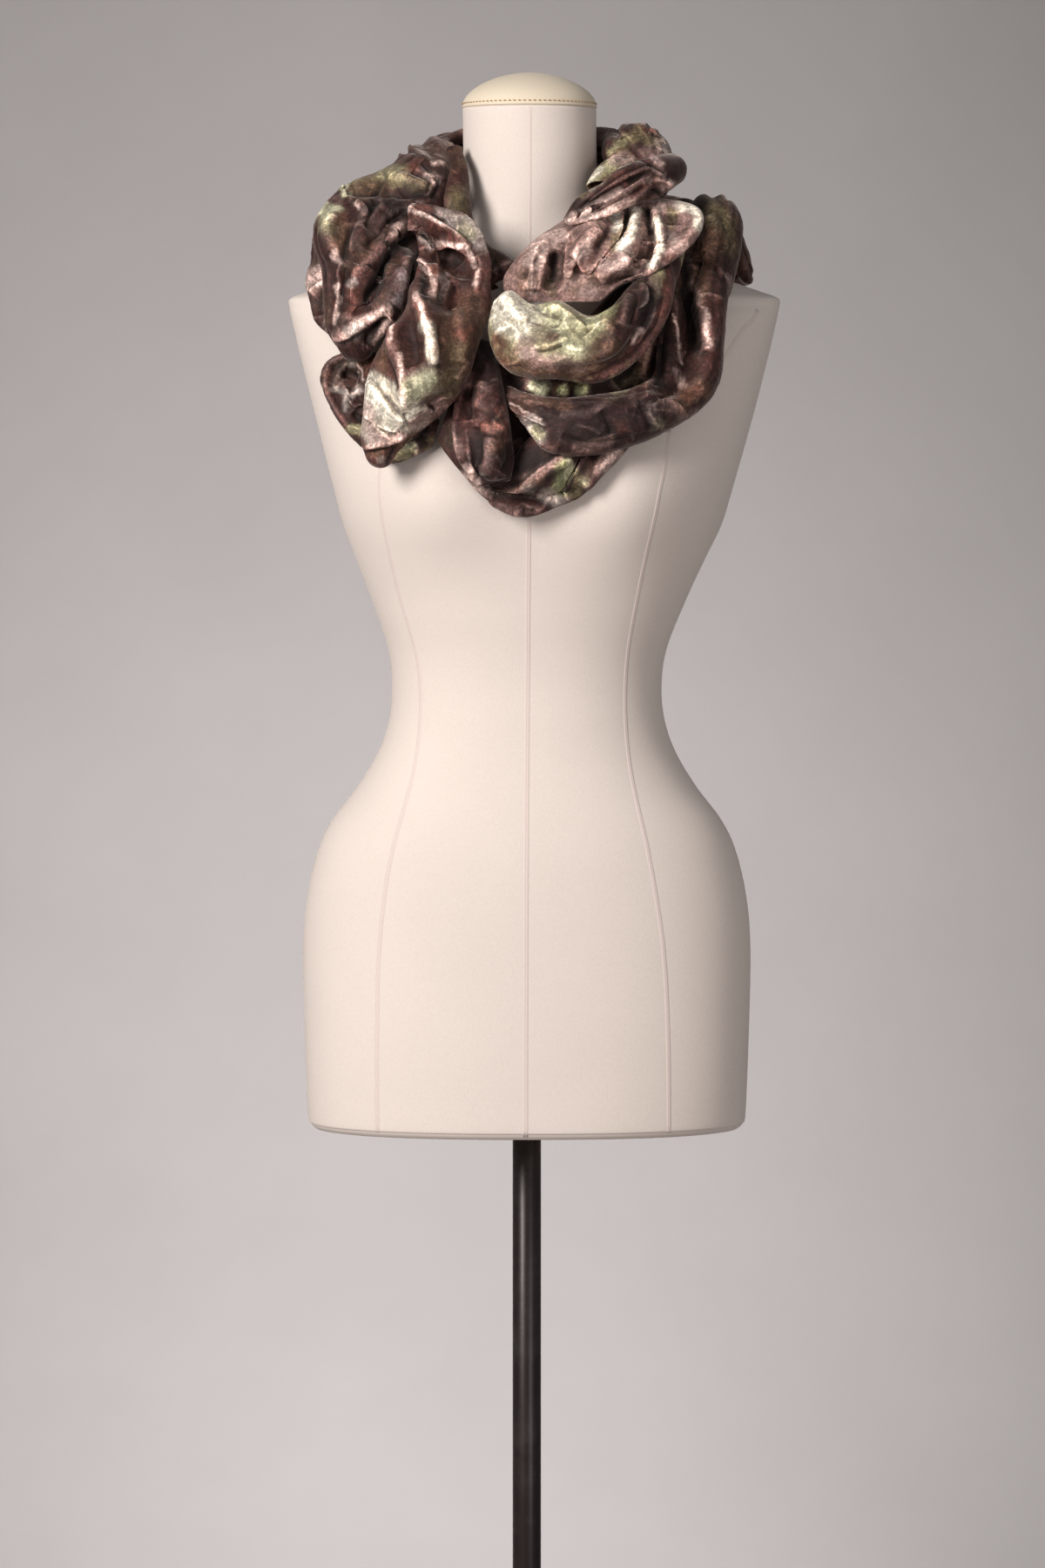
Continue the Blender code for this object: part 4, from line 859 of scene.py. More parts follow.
# ---- form, stand and studio --------------------------------------------------------------------
# Cross-sections of a seam: (sideways, outwards).
SEAM_PROFILES = {
    "welt": ((-2.4, -0.4), (-2.0, 0.05), (-1.1, 0.24), (-0.4, 0.24), (0.0, 0.05), (0.4, 0.24),
             (1.1, 0.24), (2.0, 0.05), (2.4, -0.4)),
    "narrow": ((-2.2, -0.4), (-1.8, 0.04), (-0.6, 0.22), (0.0, 0.1), (0.6, 0.22), (1.8, 0.04),
               (2.2, -0.4)),
    "faint": ((-1.6, -0.3), (-1.2, 0.03), (-0.4, 0.12), (0.4, 0.12), (1.2, 0.03), (1.6, -0.3)),
}

# Seams of the form: (height, x) from the top down, which side, which profile.
SEAMS = (
    ("centre_front_seam", ((1310, 1.5), (1150, 0.5), (1000, -0.5), (860, -1), (781, -1)), "front",
     "welt"),
    ("neck_seam", ((1594, 2.5), (1540, 2.5), (1480, 2), (1440, 1)), "front", "faint"),
    ("right_armhole_seam", ((1434, 184), (1419, 173), (1400, 159), (1384, 149),
                            (1368, 140), (1350, 132)), "front", "narrow"),
    ("left_princess_seam", ((1340, -112), (1290, -116), (1220, -104), (1150, -86), (1080, -88),
                            (1000, -108), (930, -117), (860, -119), (782, -119)), "front", "narrow"),
    ("right_princess_seam", ((1340, 112), (1290, 104), (1220, 90), (1150, 79), (1080, 81),
                             (1000, 97), (930, 108), (860, 112), (782, 113)), "front", "narrow"),
    ("centre_back_seam", ((1592, 2), (1500, 2), (1300, 4), (1135, 0), (1000, 0), (781, 0)), "back",
     "welt"),
    ("left_back_seam", ((1400, -92), (1290, -88), (1150, -64), (1000, -88), (860, -96), (782, -95)),
     "back", "narrow"),
    ("right_back_seam", ((1400, 98), (1290, 92), (1150, 64), (1000, 88), (860, 96), (782, 95)),
     "back", "narrow"),
)
# The base plate with its hub: (radius, height) from the axis at the bottom to the axis on top.
PLATE_PROFILE = (
    (0.0, 0.0), (162.5, 0.0), (164.2, 0.5), (165.0, 1.6), (165.0, 6.6), (164.4, 8.4),
    (163.2, 9.6), (161.6, 10.0), (120.0, 10.0), (25.6, 10.6), (22.5, 11.6), (20.3, 13.4),
    (19.1, 16.5), (19.0, 19.0), (19.0, 43.8), (18.4, 45.2), (17.0, 46.0), (12.2, 46.0),
    (12.2, 44.0), (0.0, 44.0))

# The cap's rim: (from its radius, above its foot).  The dome stands on it, a superellipse.
CAP_RIM = ((-0.9, 0.0), (-0.15, 0.25), (0.0, 0.9), (-0.1, 1.7), (-0.7, 2.3))
DOME_IN = 0.5
DOME_FOOT = 2.2
DOME_POWER = 1.8
DOME_STEPS = 40
STITCHES = 84
STITCH_HEIGHT = 3.4            # above the cap's foot
POLE_BEVEL = 0.4
CAP_SIDES = 144
POLE_SIDES = 96
PLATE_SIDES = 180

# Colours as they look, 0 to 255.
JERSEY = (236, 222, 212)
SEAM = (231, 214, 206)
CAP = (236, 220, 196)
STITCH = (186, 150, 104)
POLE = (40, 30, 29)
PLATE = (38, 31, 30)
BACKDROP = (163, 158, 157)

# Studio, in metres: (name, place, aim, width and height, watts, colour).
LIGHTS = (
    ("key", (-2.2, -2.8, 2.5), (0.0, 0.0, 1.2), (1.1, 1.6), 133.0, (1.0, 0.97, 0.945)),
    ("fill", (2.2, -3.6, 1.1), (0.0, 0.0, 1.1), (1.6, 2.0), 32.0, (1.0, 0.97, 0.96)),
    ("glow", (-0.1, 0.9, 0.4), (-0.05, 2.6, 0.3), (1.2, 0.4), 32.0, (1.0, 0.99, 0.985)),
)
AMBIENT = 0.20
AMBIENT_COLOUR = (0.92, 0.93, 0.95, 1)
CAMERA_PLACE = (-0.0035, -4.8, 1.32)
CAMERA_DIP = 3.16              # degrees below level
LENS = 136.9
SENSOR = 36.0
FLOOR_FRONT = -4.5
WALL_PLACE = 2.6
SWEEP = 0.9                    # radius between floor and wall
WALL_TOP = 4.6
WALL_HALF = 4.2
FLOOR_DROP = 0.0006            # keeps the floor clear of the plate's underside

# Sections of the form, bottom to top: height, half width, depth to the front, depth to the back,
# how square the section is (2 is an ellipse) and its shift sideways.
FORM_ROWS = (
    # z, half width, front, back, square, shift
    (778.0, 171.0, 97.0, 117.0, 2.30, 0.0),
    (782.0, 175.0, 101.0, 121.0, 2.30, 0.0),
    (792.0, 177.0, 103.0, 123.0, 2.30, 0.0),
    (860.0, 179.5, 105.0, 127.0, 2.30, 0.0),
    (920.0, 180.5, 105.0, 130.0, 2.30, 0.0),
    (962.0, 177.5, 104.0, 127.0, 2.30, 0.0),
    (1000.0, 169.0, 102.0, 118.0, 2.30, 0.0),
    (1026.0, 157.0, 98.0, 107.0, 2.30, 0.0),
    (1054.0, 136.0, 92.0, 94.0, 2.30, 0.0),
    (1082.0, 119.5, 87.0, 83.0, 2.30, 0.0),
    (1108.0, 110.8, 84.0, 76.0, 2.30, 0.0),
    (1135.0, 108.5, 83.0, 73.0, 2.30, 0.0),
    (1164.0, 112.0, 87.0, 75.0, 2.30, 0.5),
    (1200.0, 125.0, 97.0, 81.0, 2.30, 1.5),
    (1236.0, 140.0, 108.0, 88.0, 2.35, 3.0),
    (1264.0, 152.0, 115.0, 92.0, 2.40, 4.5),
    (1292.0, 160.0, 118.0, 95.0, 2.45, 5.0),
    (1320.0, 167.5, 115.0, 97.0, 2.50, 5.5),
    (1360.0, 178.0, 104.0, 98.0, 2.50, 6.0),
    (1400.0, 188.0, 89.0, 95.0, 2.45, 6.0),
    (1428.0, 194.5, 76.0, 88.0, 2.40, 6.0),
    (1438.0, 196.6, 70.0, 84.0, 2.32, 6.0),
    (1443.5, 197.0, 67.4, 81.5, 2.28, 6.0),
    (1446.8, 193.0, 66.2, 80.3, 2.24, 6.0),
    (1450.5, 182.5, 65.0, 79.0, 2.18, 5.8),
    (1459.0, 158.5, 62.5, 75.0, 2.10, 5.0),
    (1469.0, 130.0, 60.0, 71.0, 2.00, 4.5),
    (1481.0, 97.0, 58.0, 66.0, 2.00, 4.0),
    (1494.0, 72.0, 56.0, 61.0, 2.00, 3.5),
    (1508.0, 59.5, 54.5, 57.0, 2.00, 3.0),
    (1524.0, 54.5, 53.5, 54.5, 2.00, 3.0),
    (1560.0, 53.5, 53.0, 53.5, 2.00, 2.5),
    (1597.0, 53.5, 53.0, 53.0, 2.00, 2.0),
)
FORM_RINGS = 250
FORM_SIDES = 180
HEM_RINGS = 12                 # up to the third section, where the hem turns
HEM_ROW = 2
HEM_INSET = (0.985, 0.985, 1.0)
HEM_DROP = (0.0, 0.0, 0.4)
BUST_OUT = 20.0
BUST_X = 82.0
BUST_Z = 1288.0
BUST_REACH = 50.0


# ---- small mathematics -------------------------------------------------------------------------
def unit(vectors):
    """The same vectors at length 1."""
    return vectors / np.maximum(np.linalg.norm(vectors, axis=-1, keepdims=True), 1e-9)


def smooth_rows(rows, place):
    """Catmull-Rom curve through the rows of a table; place counts rows and may be fractional."""
    rows = np.asarray(rows, dtype=float)
    last = len(rows) - 1
    place = np.clip(np.asarray(place, dtype=float), 0.0, last)
    k = np.minimum(place.astype(int), last - 1)
    f = (place - k)[:, None]
    before = rows[np.maximum(k - 1, 0)]
    here = rows[k]
    after = rows[k + 1]
    beyond = rows[np.minimum(k + 2, last)]
    slope_here = 0.5 * (after - before)
    slope_after = 0.5 * (beyond - here)
    return (here * (1 + 2 * f) * (1 - f) ** 2 + slope_here * f * (1 - f) ** 2
            + after * f * f * (3 - 2 * f) + slope_after * f * f * (f - 1))


def lattice_noise(points, size, seed):
    """Random numbers from -1 to 1 on a cubic lattice of the given size, eased between its corners."""
    place = np.asarray(points, dtype=float) / size
    cell = np.floor(place).astype(np.int64)
    f = place - cell
    f = f * f * f * (f * (f * 6.0 - 15.0) + 10.0)
    total = np.zeros(place.shape[:-1])
    for corner in range(8):
        step = np.array([corner & 1, corner >> 1 & 1, corner >> 2 & 1])
        c = cell + step
        # a number of 16 bits that depends on the corner and the seed in no visible way
        code = c[..., 0] * 73856093 ^ c[..., 1] * 19349663 ^ c[..., 2] * 83492791 ^ seed * 9781
        code = (code ^ code >> 13) * 1274126177 & 0xFFFFFFFF
        code = (code ^ code >> 15) * 2246822519 & 0xFFFFFFFF
        code = (code ^ code >> 16) & 0xFFFF
        total += np.prod(np.where(step, f, 1.0 - f), axis=-1) * (code / 32767.5 - 1.0)
    return total


def cloud(points, size, seed):
    """Three layers of lattice noise, each half the size and half the strength of the last."""
    return (lattice_noise(points, size, seed) + 0.5 * lattice_noise(points, size / 2, seed + 1)
            + 0.25 * lattice_noise(points, size / 4, seed + 2)) / 1.3


def ridged(points, size, seed):
    """Thin ridges where lattice noise passes through zero: one minus twice its absolute value."""
    return 1.0 - np.abs(lattice_noise(points, size, seed)) * 2.0


def ease(value, low, high):
    """Smooth step from 0 at low to 1 at high."""
    t = np.clip((value - low) / (high - low), 0.0, 1.0)
    return t * t * (3 - 2 * t)


def line_distance(flat, path, reach):
    """Distance of flat points to a smooth line, which side they are on and how far along it.

    The line is a Catmull-Rom curve through the path's points.  Points further than reach from
    the line's box stay at the distance FAR.
    """
    knots = np.array(path, dtype=float).reshape(-1, 2)
    distance = np.full(flat.shape[:-1], FAR)
    side = np.ones(flat.shape[:-1])
    along = np.zeros(flat.shape[:-1])
    across = np.zeros(flat.shape)
    if len(knots) == 1:
        distance = np.linalg.norm(flat - knots[0], axis=-1)
        return distance, side, along + 0.5, across
    line = smooth_rows(knots, np.linspace(0.0, len(knots) - 1, max(FOLD_STEPS, 4 * len(knots))))
    near = ((flat > line.min(0) - reach) & (flat < line.max(0) + reach)).all(-1)
    if not near.any():
        return distance, side, along, across
    spot = flat[near]
    start, run = line[:-1], np.diff(line, axis=0)
    off = spot[:, None] - start
    share = np.clip((off * run).sum(-1) / (run * run).sum(-1), 0.0, 1.0)
    gap = off - share[..., None] * run
    length = np.linalg.norm(gap, axis=-1)
    pick = length.argmin(-1)
    row = np.arange(len(spot))
    gap = gap[row, pick]
    heading = run[pick]
    turn = heading[:, 0] * gap[:, 1] - heading[:, 1] * gap[:, 0]
    distance[near] = length[row, pick]
    side[near] = np.where(turn >= 0, 1.0, -1.0)
    along[near] = (pick + share[row, pick]) / len(run)
    across[near] = unit(np.stack((-heading[:, 1], heading[:, 0]), axis=-1))
    return distance, side, along, across


# ---- cloth surfaces ----------------------------------------------------------------------------
def section_points(half_width, loft, count):
    """Points across one section, evenly spaced along it, as (along the width, outwards).

    The front is half an ellipse of the given half width and loft.  At each edge the cloth turns
    under on a quarter circle and comes back a little way behind itself.
    """
    roll = min(EDGE_ROLL, (half_width - ROLL_CLEAR) / (1.0 + CURL_TAIL))
    turn = np.linspace(0.0, 0.5 * math.pi, 60)
    front = np.column_stack((half_width * np.sin(turn), loft * np.cos(turn)))
    curl = np.column_stack((half_width - roll + roll * np.cos(turn), -roll * np.sin(turn)))
    tail = np.array([(half_width - roll * (1.0 + CURL_TAIL), -1.05 * roll)])
    half = np.concatenate((front, curl[1:], tail))
    whole = np.concatenate((half[:0:-1] * (-1.0, 1.0), half))
    length = np.concatenate(([0.0], np.cumsum(np.linalg.norm(np.diff(whole, axis=0), axis=1))))
    even = np.linspace(0.0, length[-1], count)
    return np.column_stack((np.interp(even, length, whole[:, 0]),
                            np.interp(even, length, whole[:, 1])))


def turn_under(points, radius):
    """Adds a rolled end: the first station carried back on a half circle and in behind the cloth."""
    normal = grid_normals(points)[0]
    ahead = unit(points[2] - points[0])
    ahead = unit(ahead - (ahead * normal).sum(-1, keepdims=True) * normal)
    turn = np.linspace(math.pi, 0.0, 14, endpoint=False)[:, None, None]
    roll = points[0] - ahead * radius * np.sin(turn) - normal * radius * (1.0 - np.cos(turn))
    tail = roll[0] + ahead * np.linspace(1.2 * radius, 0.0, 6, endpoint=False)[:, None, None]
    return np.concatenate((tail, roll, points))


def even_stations(rows, spacing, back_spacing):
    """Places along the rows that lie an even distance apart, further apart at the back."""
    fine = np.linspace(0.0, len(rows) - 1, 60 * len(rows))
    table = smooth_rows(rows, fine)
    step_a = np.linalg.norm(np.diff(table[:, 0:3], axis=0), axis=1)
    step_b = np.linalg.norm(np.diff(table[:, 3:6], axis=0), axis=1)
    depth = 0.5 * (table[1:, 1] + table[1:, 4])
    wanted = spacing + (back_spacing - spacing) * ease(depth, BACK_FROM, BACK_FROM + 20.0)
    ticks = np.concatenate(([0.0], np.cumsum(np.maximum(step_a, step_b) / wanted)))
    count = int(ticks[-1] / 2) * 2 + 1
    return np.interp(np.linspace(0.0, ticks[-1], count), ticks, fine)


def stretch_surface(rows, places, count):
    """Grid of points (stations, points round the section, xyz) of one stretch of cloth.

    A station's middle runs between its two edges; the cloth bulges out from there along the
    direction that stands square to both the run of the stretch and the line between its edges.
    """
    table = smooth_rows(rows, places)
    edge_a = table[:, 0:3]
    edge_b = table[:, 3:6]
    loft = table[:, 6]
    middle = 0.5 * (edge_a + edge_b)
    half = 0.5 * np.linalg.norm(edge_b - edge_a, axis=1)
    across = unit(edge_b - edge_a)
    outward = unit(np.cross(np.gradient(middle, axis=0), across))
    sections = np.array([section_points(w, n, count) for w, n in zip(half, loft)])
    return (middle[:, None] + sections[:, :, 0:1] * across[:, None]
            + sections[:, :, 1:2] * outward[:, None])


def grid_normals(points):
    """Outward unit normals of a grid of points."""
    return unit(np.cross(np.gradient(points, axis=0), np.gradient(points, axis=1)))


def rim_mask(points, reach):
    """0 at a wall's open ends and back edges, rising to 1 within reach of them."""
    long, count = points.shape[:2]
    step = np.linalg.norm(np.diff(points, axis=1), axis=-1)
    across = np.concatenate((np.zeros((long, 1)), np.cumsum(step, axis=1)), axis=1)
    edge = np.minimum(across, across[:, -1:] - across)
    run = np.linalg.norm(np.diff(points[:, count // 2], axis=0), axis=-1)
    along = np.concatenate(([0.0], np.cumsum(run)))
    end = np.minimum(along, along[-1] - along)[:, None]
    return ease(edge, 0.0, reach) * ease(end, 0.0, reach)


def fold_shape(kind, d, side, width):
    """Height of a fold at distance d from its line, for a fold 1 high.

    A roll is a bell curve.  A ridge has a sharper crest and long slopes, and a valley is the same
    turned inwards.  A crease is a narrow cusp.  A lip is a bell curve, steep on one side.
    """
    share = (d / width) ** 2
    if kind in ("roll", "broad"):
        return np.exp(-share)
    if kind == "lip":
        return np.exp(-(d / np.where(side > 0, width, LIP_STEEP * width)) ** 2)
    within = d < FOLD_REACH * width
    if kind == "crease":
        return np.exp(-1.2 * np.sqrt(share + 0.02)) * within
    return 1.25 * np.exp(-np.sqrt(share + 0.05)) * within * (-1.0 if kind == "valley" else 1.0)


def press_folds(points, folds):
    """Presses folds into the cloth along listed lines, seen from the front or the back.

    Every fold but a broad one fades at its ends, and a lip also leans over its steep side.
    """
    normals = grid_normals(points)
    facing = np.clip(-FACING_GAIN * normals[..., 1], 0.0, 1.0)
    behind = np.clip(FACING_GAIN * normals[..., 1], 0.0, 1.0)
    flat = points[..., (0, 2)]
    push = np.zeros(points.shape[:2])
    slide = np.zeros(points.shape)
    for label, lines in folds.items():
        kind = label.split()[-1]
        seen = behind if label.startswith("back") else facing
        for width, height, *path in lines:
            d, side, along, across = line_distance(flat, path, LINE_REACH * width)
            fade = 1.0 if kind == "broad" else 1.0 - np.abs(2.0 * along - 1.0) ** 5
            share = height * fade * fold_shape(kind, d, side, width) * seen
            push += share
            if kind == "lip":
                slide[..., (0, 2)] -= LIP_LEAN * across * share[..., None]
    slide -= (slide * normals).sum(-1, keepdims=True) * normals
    return points + (normals * push[..., None] + slide) * rim_mask(points, RIM)[..., None]


def press_pleats(points, count, depth, seed):
    """Lengthwise pleats that wander across the width, each with its own depth, width and ends.

    In the unrolled cloth a pleat is a bell-shaped trough round a line whose place across the
    width follows a slow wave; its depth swells and dies away along its length.
    """
    rng = np.random.default_rng(seed)
    long, round_count = points.shape[:2]
    normals = grid_normals(points)
    u = np.linspace(0.0, 1.0, long)[:, None]
    v = np.linspace(0.0, 1.0, round_count)[None, :]
    width = np.linalg.norm(np.diff(points, axis=1), axis=-1).sum(1)[:, None]
    push = np.zeros((long, round_count))
    centres = (np.arange(count) + 0.5 + rng.uniform(-0.35, 0.35, count)) / count
    for centre in 0.14 + 0.72 * centres:
        start = rng.uniform(-0.4, 0.7)
        reach = rng.uniform(0.25, 0.9)
        line = centre + PLEAT_SWAY * np.sin(2 * math.pi * (rng.uniform(0.5, 1.5) * u + rng.random()))
        line = line + rng.uniform(-0.5, 0.5) * 0.16 * (u - 0.5)
        swell = np.clip(1.0 - ((u - start - 0.5 * reach) / (0.5 * reach)) ** 2, 0.0, 1.0)
        wide = rng.uniform(2.4, 6.5)
        tall = -depth * rng.uniform(0.4, 1.0)
        d = (v - line) * width
        push += tall * swell * 1.2 * np.exp(-np.sqrt((d / wide) ** 2 + 0.06))
        push += -0.35 * tall * swell * np.exp(-((np.abs(d) - 1.9 * wide) / wide) ** 2)
    push *= (0.35 + 0.65 * ease(points[..., 1], -40.0, 10.0)
             + 0.7 * ease(points[..., 1], 20.0, 60.0))
    return points + normals * (push * rim_mask(points, 16.0))[..., None]


def crumple(points, amount, seed):
    """Small crumples: cloudy dents a centimetre across and thin ridges where noise changes sign."""
    normals = grid_normals(points)
    wander = points + 2.5 * np.stack([lattice_noise(points, 9.0, seed + k) for k in (5, 6, 7)], -1)
    push = 0.55 * cloud(wander, 15.0, seed)
    where = ease(cloud(points, 26.0, seed + 21), -0.15, 0.5)
    push += 0.75 * where * np.clip(ridged(wander, 10.0, seed + 9) - 0.35, 0.0, 1.0) ** 1.5
    push += 0.5 * where * np.clip(ridged(wander, 5.0, seed + 14) - 0.2, 0.0, 1.0) ** 1.5
    return points + normals * (amount * push * rim_mask(points, RIM))[..., None]


def bend(points):
    """Signed bend of the cloth over about 2, 5 and 11 mm: above 0 on crests, below 0 in valleys."""
    normals = grid_normals(points)
    total = np.zeros(points.shape[:2])
    for reach, share in ((2, 0.5), (5, 0.4), (11, 0.3)):
        padded = np.pad(points, ((reach, reach), (reach, reach), (0, 0)), mode="edge")
        long, count = points.shape[:2]
        around = sum(padded[reach + i:reach + i + long, reach + j:reach + j + count]
                     for i, j in ((reach, 0), (-reach, 0), (0, reach), (0, -reach))) / 4.0
        rise = ((points - around) * normals).sum(-1)
        total += share * rise / reach ** 1.2
    total[:6] = 0
    total[-6:] = 0
    return total * rim_mask(points, 6.0)


# ---- dye ---------------------------------------------------------------------------------------
def linear(colour):
    """sRGB 0-255 to linear light."""
    c = np.asarray(colour, dtype=float) / 255.0
    return np.where(c <= 0.04045, c / 12.92, ((c + 0.055) / 1.055) ** 2.4)


def dye_and_painted_light(points, base, patches, loose, seed):
    """Colour of the cloth: a base dye, loose clouds of other dyes, then the listed patches.

    A patch is a flat-topped bell of the distance to its line, warped by noise so that its edge
    is ragged.  The clouds cover hidden cloth fully and cloth with patches only a little.
    """
    colour = np.broadcast_to(linear(DYES[base]), points.shape).copy()
    torn = points + 9.0 * np.stack([cloud(points, 13.0, seed + 51 + k) for k in (0, 1, 2)], -1)
    for k, (name, size, cut) in enumerate(LOOSE_DYES):
        share = ease(cloud(torn, size, seed + 31 * k), cut, cut + 0.55)
        behind = ease(points[..., 1], 0.0, 30.0)
        share = (share * (loose + (LOOSE_BEHIND - loose) * behind))[..., None]
        colour = colour * (1 - share) + linear(DYES[name]) * share
    warp = np.stack((cloud(points, 11.0, seed + 3), cloud(points, 11.0, seed + 4)), -1)
    flat = points[..., (0, 2)] + 3.2 * warp
    front = ease(-grid_normals(points)[..., 1], -0.35, 0.05) * ease(-points[..., 1], -30.0, -5.0)
    # Some patches paint light: dark lines along valleys are painted shade, and pale lines along crests
    # and lips are painted highlights.
    for name, radius, strength, *path in patches:
        d = line_distance(flat, path, 3.0 * radius)[0]
        fray = 1.0 + 0.35 * cloud(points, 6.0, seed + 8)
        share = strength * np.exp(-0.7 * (d / radius) ** 4) * fray * front
        share = np.clip(share, 0.0, 1.0)[..., None]
        colour = colour * (1 - share) + linear(DYES[name]) * share
    return colour


# ---- meshes ------------------------------------------------------------------------------------
def mesh_piece(name, points, faces, material):
    """A mesh object from points in metres and a face array, smooth, riding on the root body."""
    mesh = bpy.data.meshes.new(name)
    size = faces.shape[1]
    mesh.vertices.add(len(points))
    mesh.vertices.foreach_set("co", np.ascontiguousarray(points, dtype=np.float32).ravel())
    mesh.loops.add(faces.size)
    mesh.loops.foreach_set("vertex_index", np.ascontiguousarray(faces, dtype=np.int32).ravel())
    mesh.polygons.add(len(faces))
    mesh.polygons.foreach_set("loop_start", np.arange(0, faces.size, size, dtype=np.int32))
    mesh.update(calc_edges=True)
    mesh.materials.append(material)
    mesh.shade_smooth()
    made = bpy.data.objects.new(name, mesh)
    bpy.context.scene.collection.objects.link(made)
    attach(made, "root")
    return made


def grid_triangles(index, flip=False):
    """Two triangles for each cell of a grid of vertex numbers."""
    a, b, c, d = index[:-1, :-1], index[1:, :-1], index[1:, 1:], index[:-1, 1:]
    faces = np.concatenate((np.stack((a, b, c), -1).reshape(-1, 3),
                            np.stack((a, c, d), -1).reshape(-1, 3)))
    return faces[:, ::-1] if flip else faces


def capped_tube(rings, foot, top):
    """Points and faces of a closed tube of rings, bottom to top, with a middle point at each end."""
    levels, sides = rings.shape[:2]
    index = np.arange(levels * sides).reshape(levels, sides)
    index = np.concatenate((index, index[:, :1]), axis=1)
    last = np.full(sides, levels * sides)
    faces = np.concatenate((grid_triangles(index, flip=True),
                            np.stack((last, index[0, 1:], index[0, :-1]), -1),
                            np.stack((last + 1, index[-1, :-1], index[-1, 1:]), -1)))
    return np.concatenate((rings.reshape(-1, 3), [foot, top])), faces


def rope_triangles(levels, sides):
    """Triangles of a closed rope of rings: its skin and a fan over each end."""
    index = np.arange(levels * sides).reshape(levels, sides)
    skin = grid_triangles(np.concatenate((index, index[:, :1]), axis=1))
    ends = [np.stack((np.full(sides - 2, row[0]), row[1:-1], row[2:]), -1)
            for row in (index[0], index[-1][::-1])]
    return np.concatenate([skin] + ends)


def rim_triangles(outer, inner):
    """Triangles that join a row of outer vertices to the row of every second one inside."""
    a, b, c = outer[0:-1:2], outer[1::2], outer[2::2]
    p, q = inner[:-1], inner[1:]
    return np.concatenate((np.stack((a, p, b), -1), np.stack((b, p, q), -1),
                           np.stack((b, q, c), -1)))


def cloth_wall(name, outer, colours, crests, material):
    """A closed wall: a fine outer skin, an inner skin of every second point, and a rim round it."""
    normals = grid_normals(outer)
    inner = (outer - PLY * normals)[::2, ::2]
    long, count = outer.shape[:2]
    outside = np.arange(long * count).reshape(long, count)
    inside = long * count + np.arange(inner.shape[0] * inner.shape[1]).reshape(inner.shape[:2])
    faces = np.concatenate((
        grid_triangles(outside), grid_triangles(inside, flip=True),
        rim_triangles(outside[0], inside[0])[:, ::-1], rim_triangles(outside[-1], inside[-1]),
        rim_triangles(outside[:, 0], inside[:, 0]),
        rim_triangles(outside[:, -1], inside[:, -1])[:, ::-1]))
    points = np.concatenate((outer.reshape(-1, 3), inner.reshape(-1, 3))) * MM
    made = mesh_piece(name, points, faces, material)
    step = np.linalg.norm(np.diff(outer, axis=1), axis=-1).mean(0)
    walk = np.linalg.norm(np.diff(outer, axis=0), axis=-1).mean(1)
    lay = np.zeros((long, count, 3))
    lay[..., 0] = np.concatenate(([0.0], np.cumsum(walk)))[:, None] * MM
    lay[..., 1] = np.concatenate(([0.0], np.cumsum(step)))[None, :] * MM
    lay[..., 2] = 0.037 * sum(map(ord, name))
    alpha = np.ones((long, count, 1))
    # The dye attribute carries the painted shade and highlights of the patch table as well as the dye;
    # crest carries the bend of the fine folds, from which the velvet paints highlights on crests and
    # shade in valleys.
    for label, kind, field, values in (
            ("dye", "FLOAT_COLOR", "color", np.concatenate((colours, alpha), axis=2)),
            ("crest", "FLOAT", "value", crests[..., None]), ("lay", "FLOAT_VECTOR", "vector", lay)):
        both = [part.reshape(-1, values.shape[2]) for part in (values, values[::2, ::2])]
        layer = made.data.attributes.new(label, kind, "POINT")
        layer.data.foreach_set(field, np.concatenate(both).astype(np.float32).ravel())
    return made


def turned(name, profile, sides, material, shift=0.0):
    """A turned solid: (radius, height) pairs from the axis at the bottom round to the axis on top."""
    profile = np.array(profile, dtype=float)
    angle = np.linspace(0.0, 2 * math.pi, sides, endpoint=False)
    ring = np.stack((np.cos(angle), np.sin(angle)), -1)
    rings = np.zeros((len(profile) - 2, sides, 3))
    rings[..., :2] = profile[1:-1, None, 0:1] * ring
    rings[..., 2] = profile[1:-1, 1:2]
    points, faces = capped_tube(rings, (0, 0, profile[0, 1]), (0, 0, profile[-1, 1]))
    points[:, 0] += shift
    return mesh_piece(name, points * MM, faces, material)




# ---- materials ---------------------------------------------------------------------------------
def new_group(name, inputs, outputs):
    """An empty shader node group with the given sockets: (name, kind, value) in, (name, kind) out."""
    group = bpy.data.node_groups.new(name, "ShaderNodeTree")
    for label, kind, value in inputs:
        socket = group.interface.new_socket(label, in_out="INPUT", socket_type=kind)
        if value is not None:
            socket.default_value = value
    for label, kind in outputs:
        group.interface.new_socket(label, in_out="OUTPUT", socket_type=kind)
    return group, group.nodes.new("NodeGroupInput"), group.nodes.new("NodeGroupOutput")


def node(tree, kind, links=(), **settings):
    """Adds a node: settings are its properties, links are (input, source socket or value)."""
    made = tree.nodes.new(kind)
    for key, value in settings.items():
        setattr(made, key, value)
    for socket, source in links:
        if isinstance(source, bpy.types.NodeSocket):
            tree.links.new(source, made.inputs[socket])
        else:
            made.inputs[socket].default_value = source
    return made


def ramp(tree, value, stops):
    """A colour ramp with (place, grey) stops."""
    made = node(tree, "ShaderNodeValToRGB", [("Fac", value)])
    made.color_ramp.elements[0].position = stops[0][0]
    made.color_ramp.elements[0].color = (stops[0][1],) * 3 + (1,)
    made.color_ramp.elements[1].position = stops[-1][0]
    made.color_ramp.elements[1].color = (stops[-1][1],) * 3 + (1,)
    for place, grey in stops[1:-1]:
        made.color_ramp.elements.new(place).color = (grey,) * 3 + (1,)
    return made.outputs["Color"]


def math_node(tree, operation, a, b=None, clamp=False):
    """One arithmetic node."""
    links = [(0, a)] + ([(1, b)] if b is not None else [])
    return node(tree, "ShaderNodeMath", links, operation=operation, use_clamp=clamp).outputs[0]


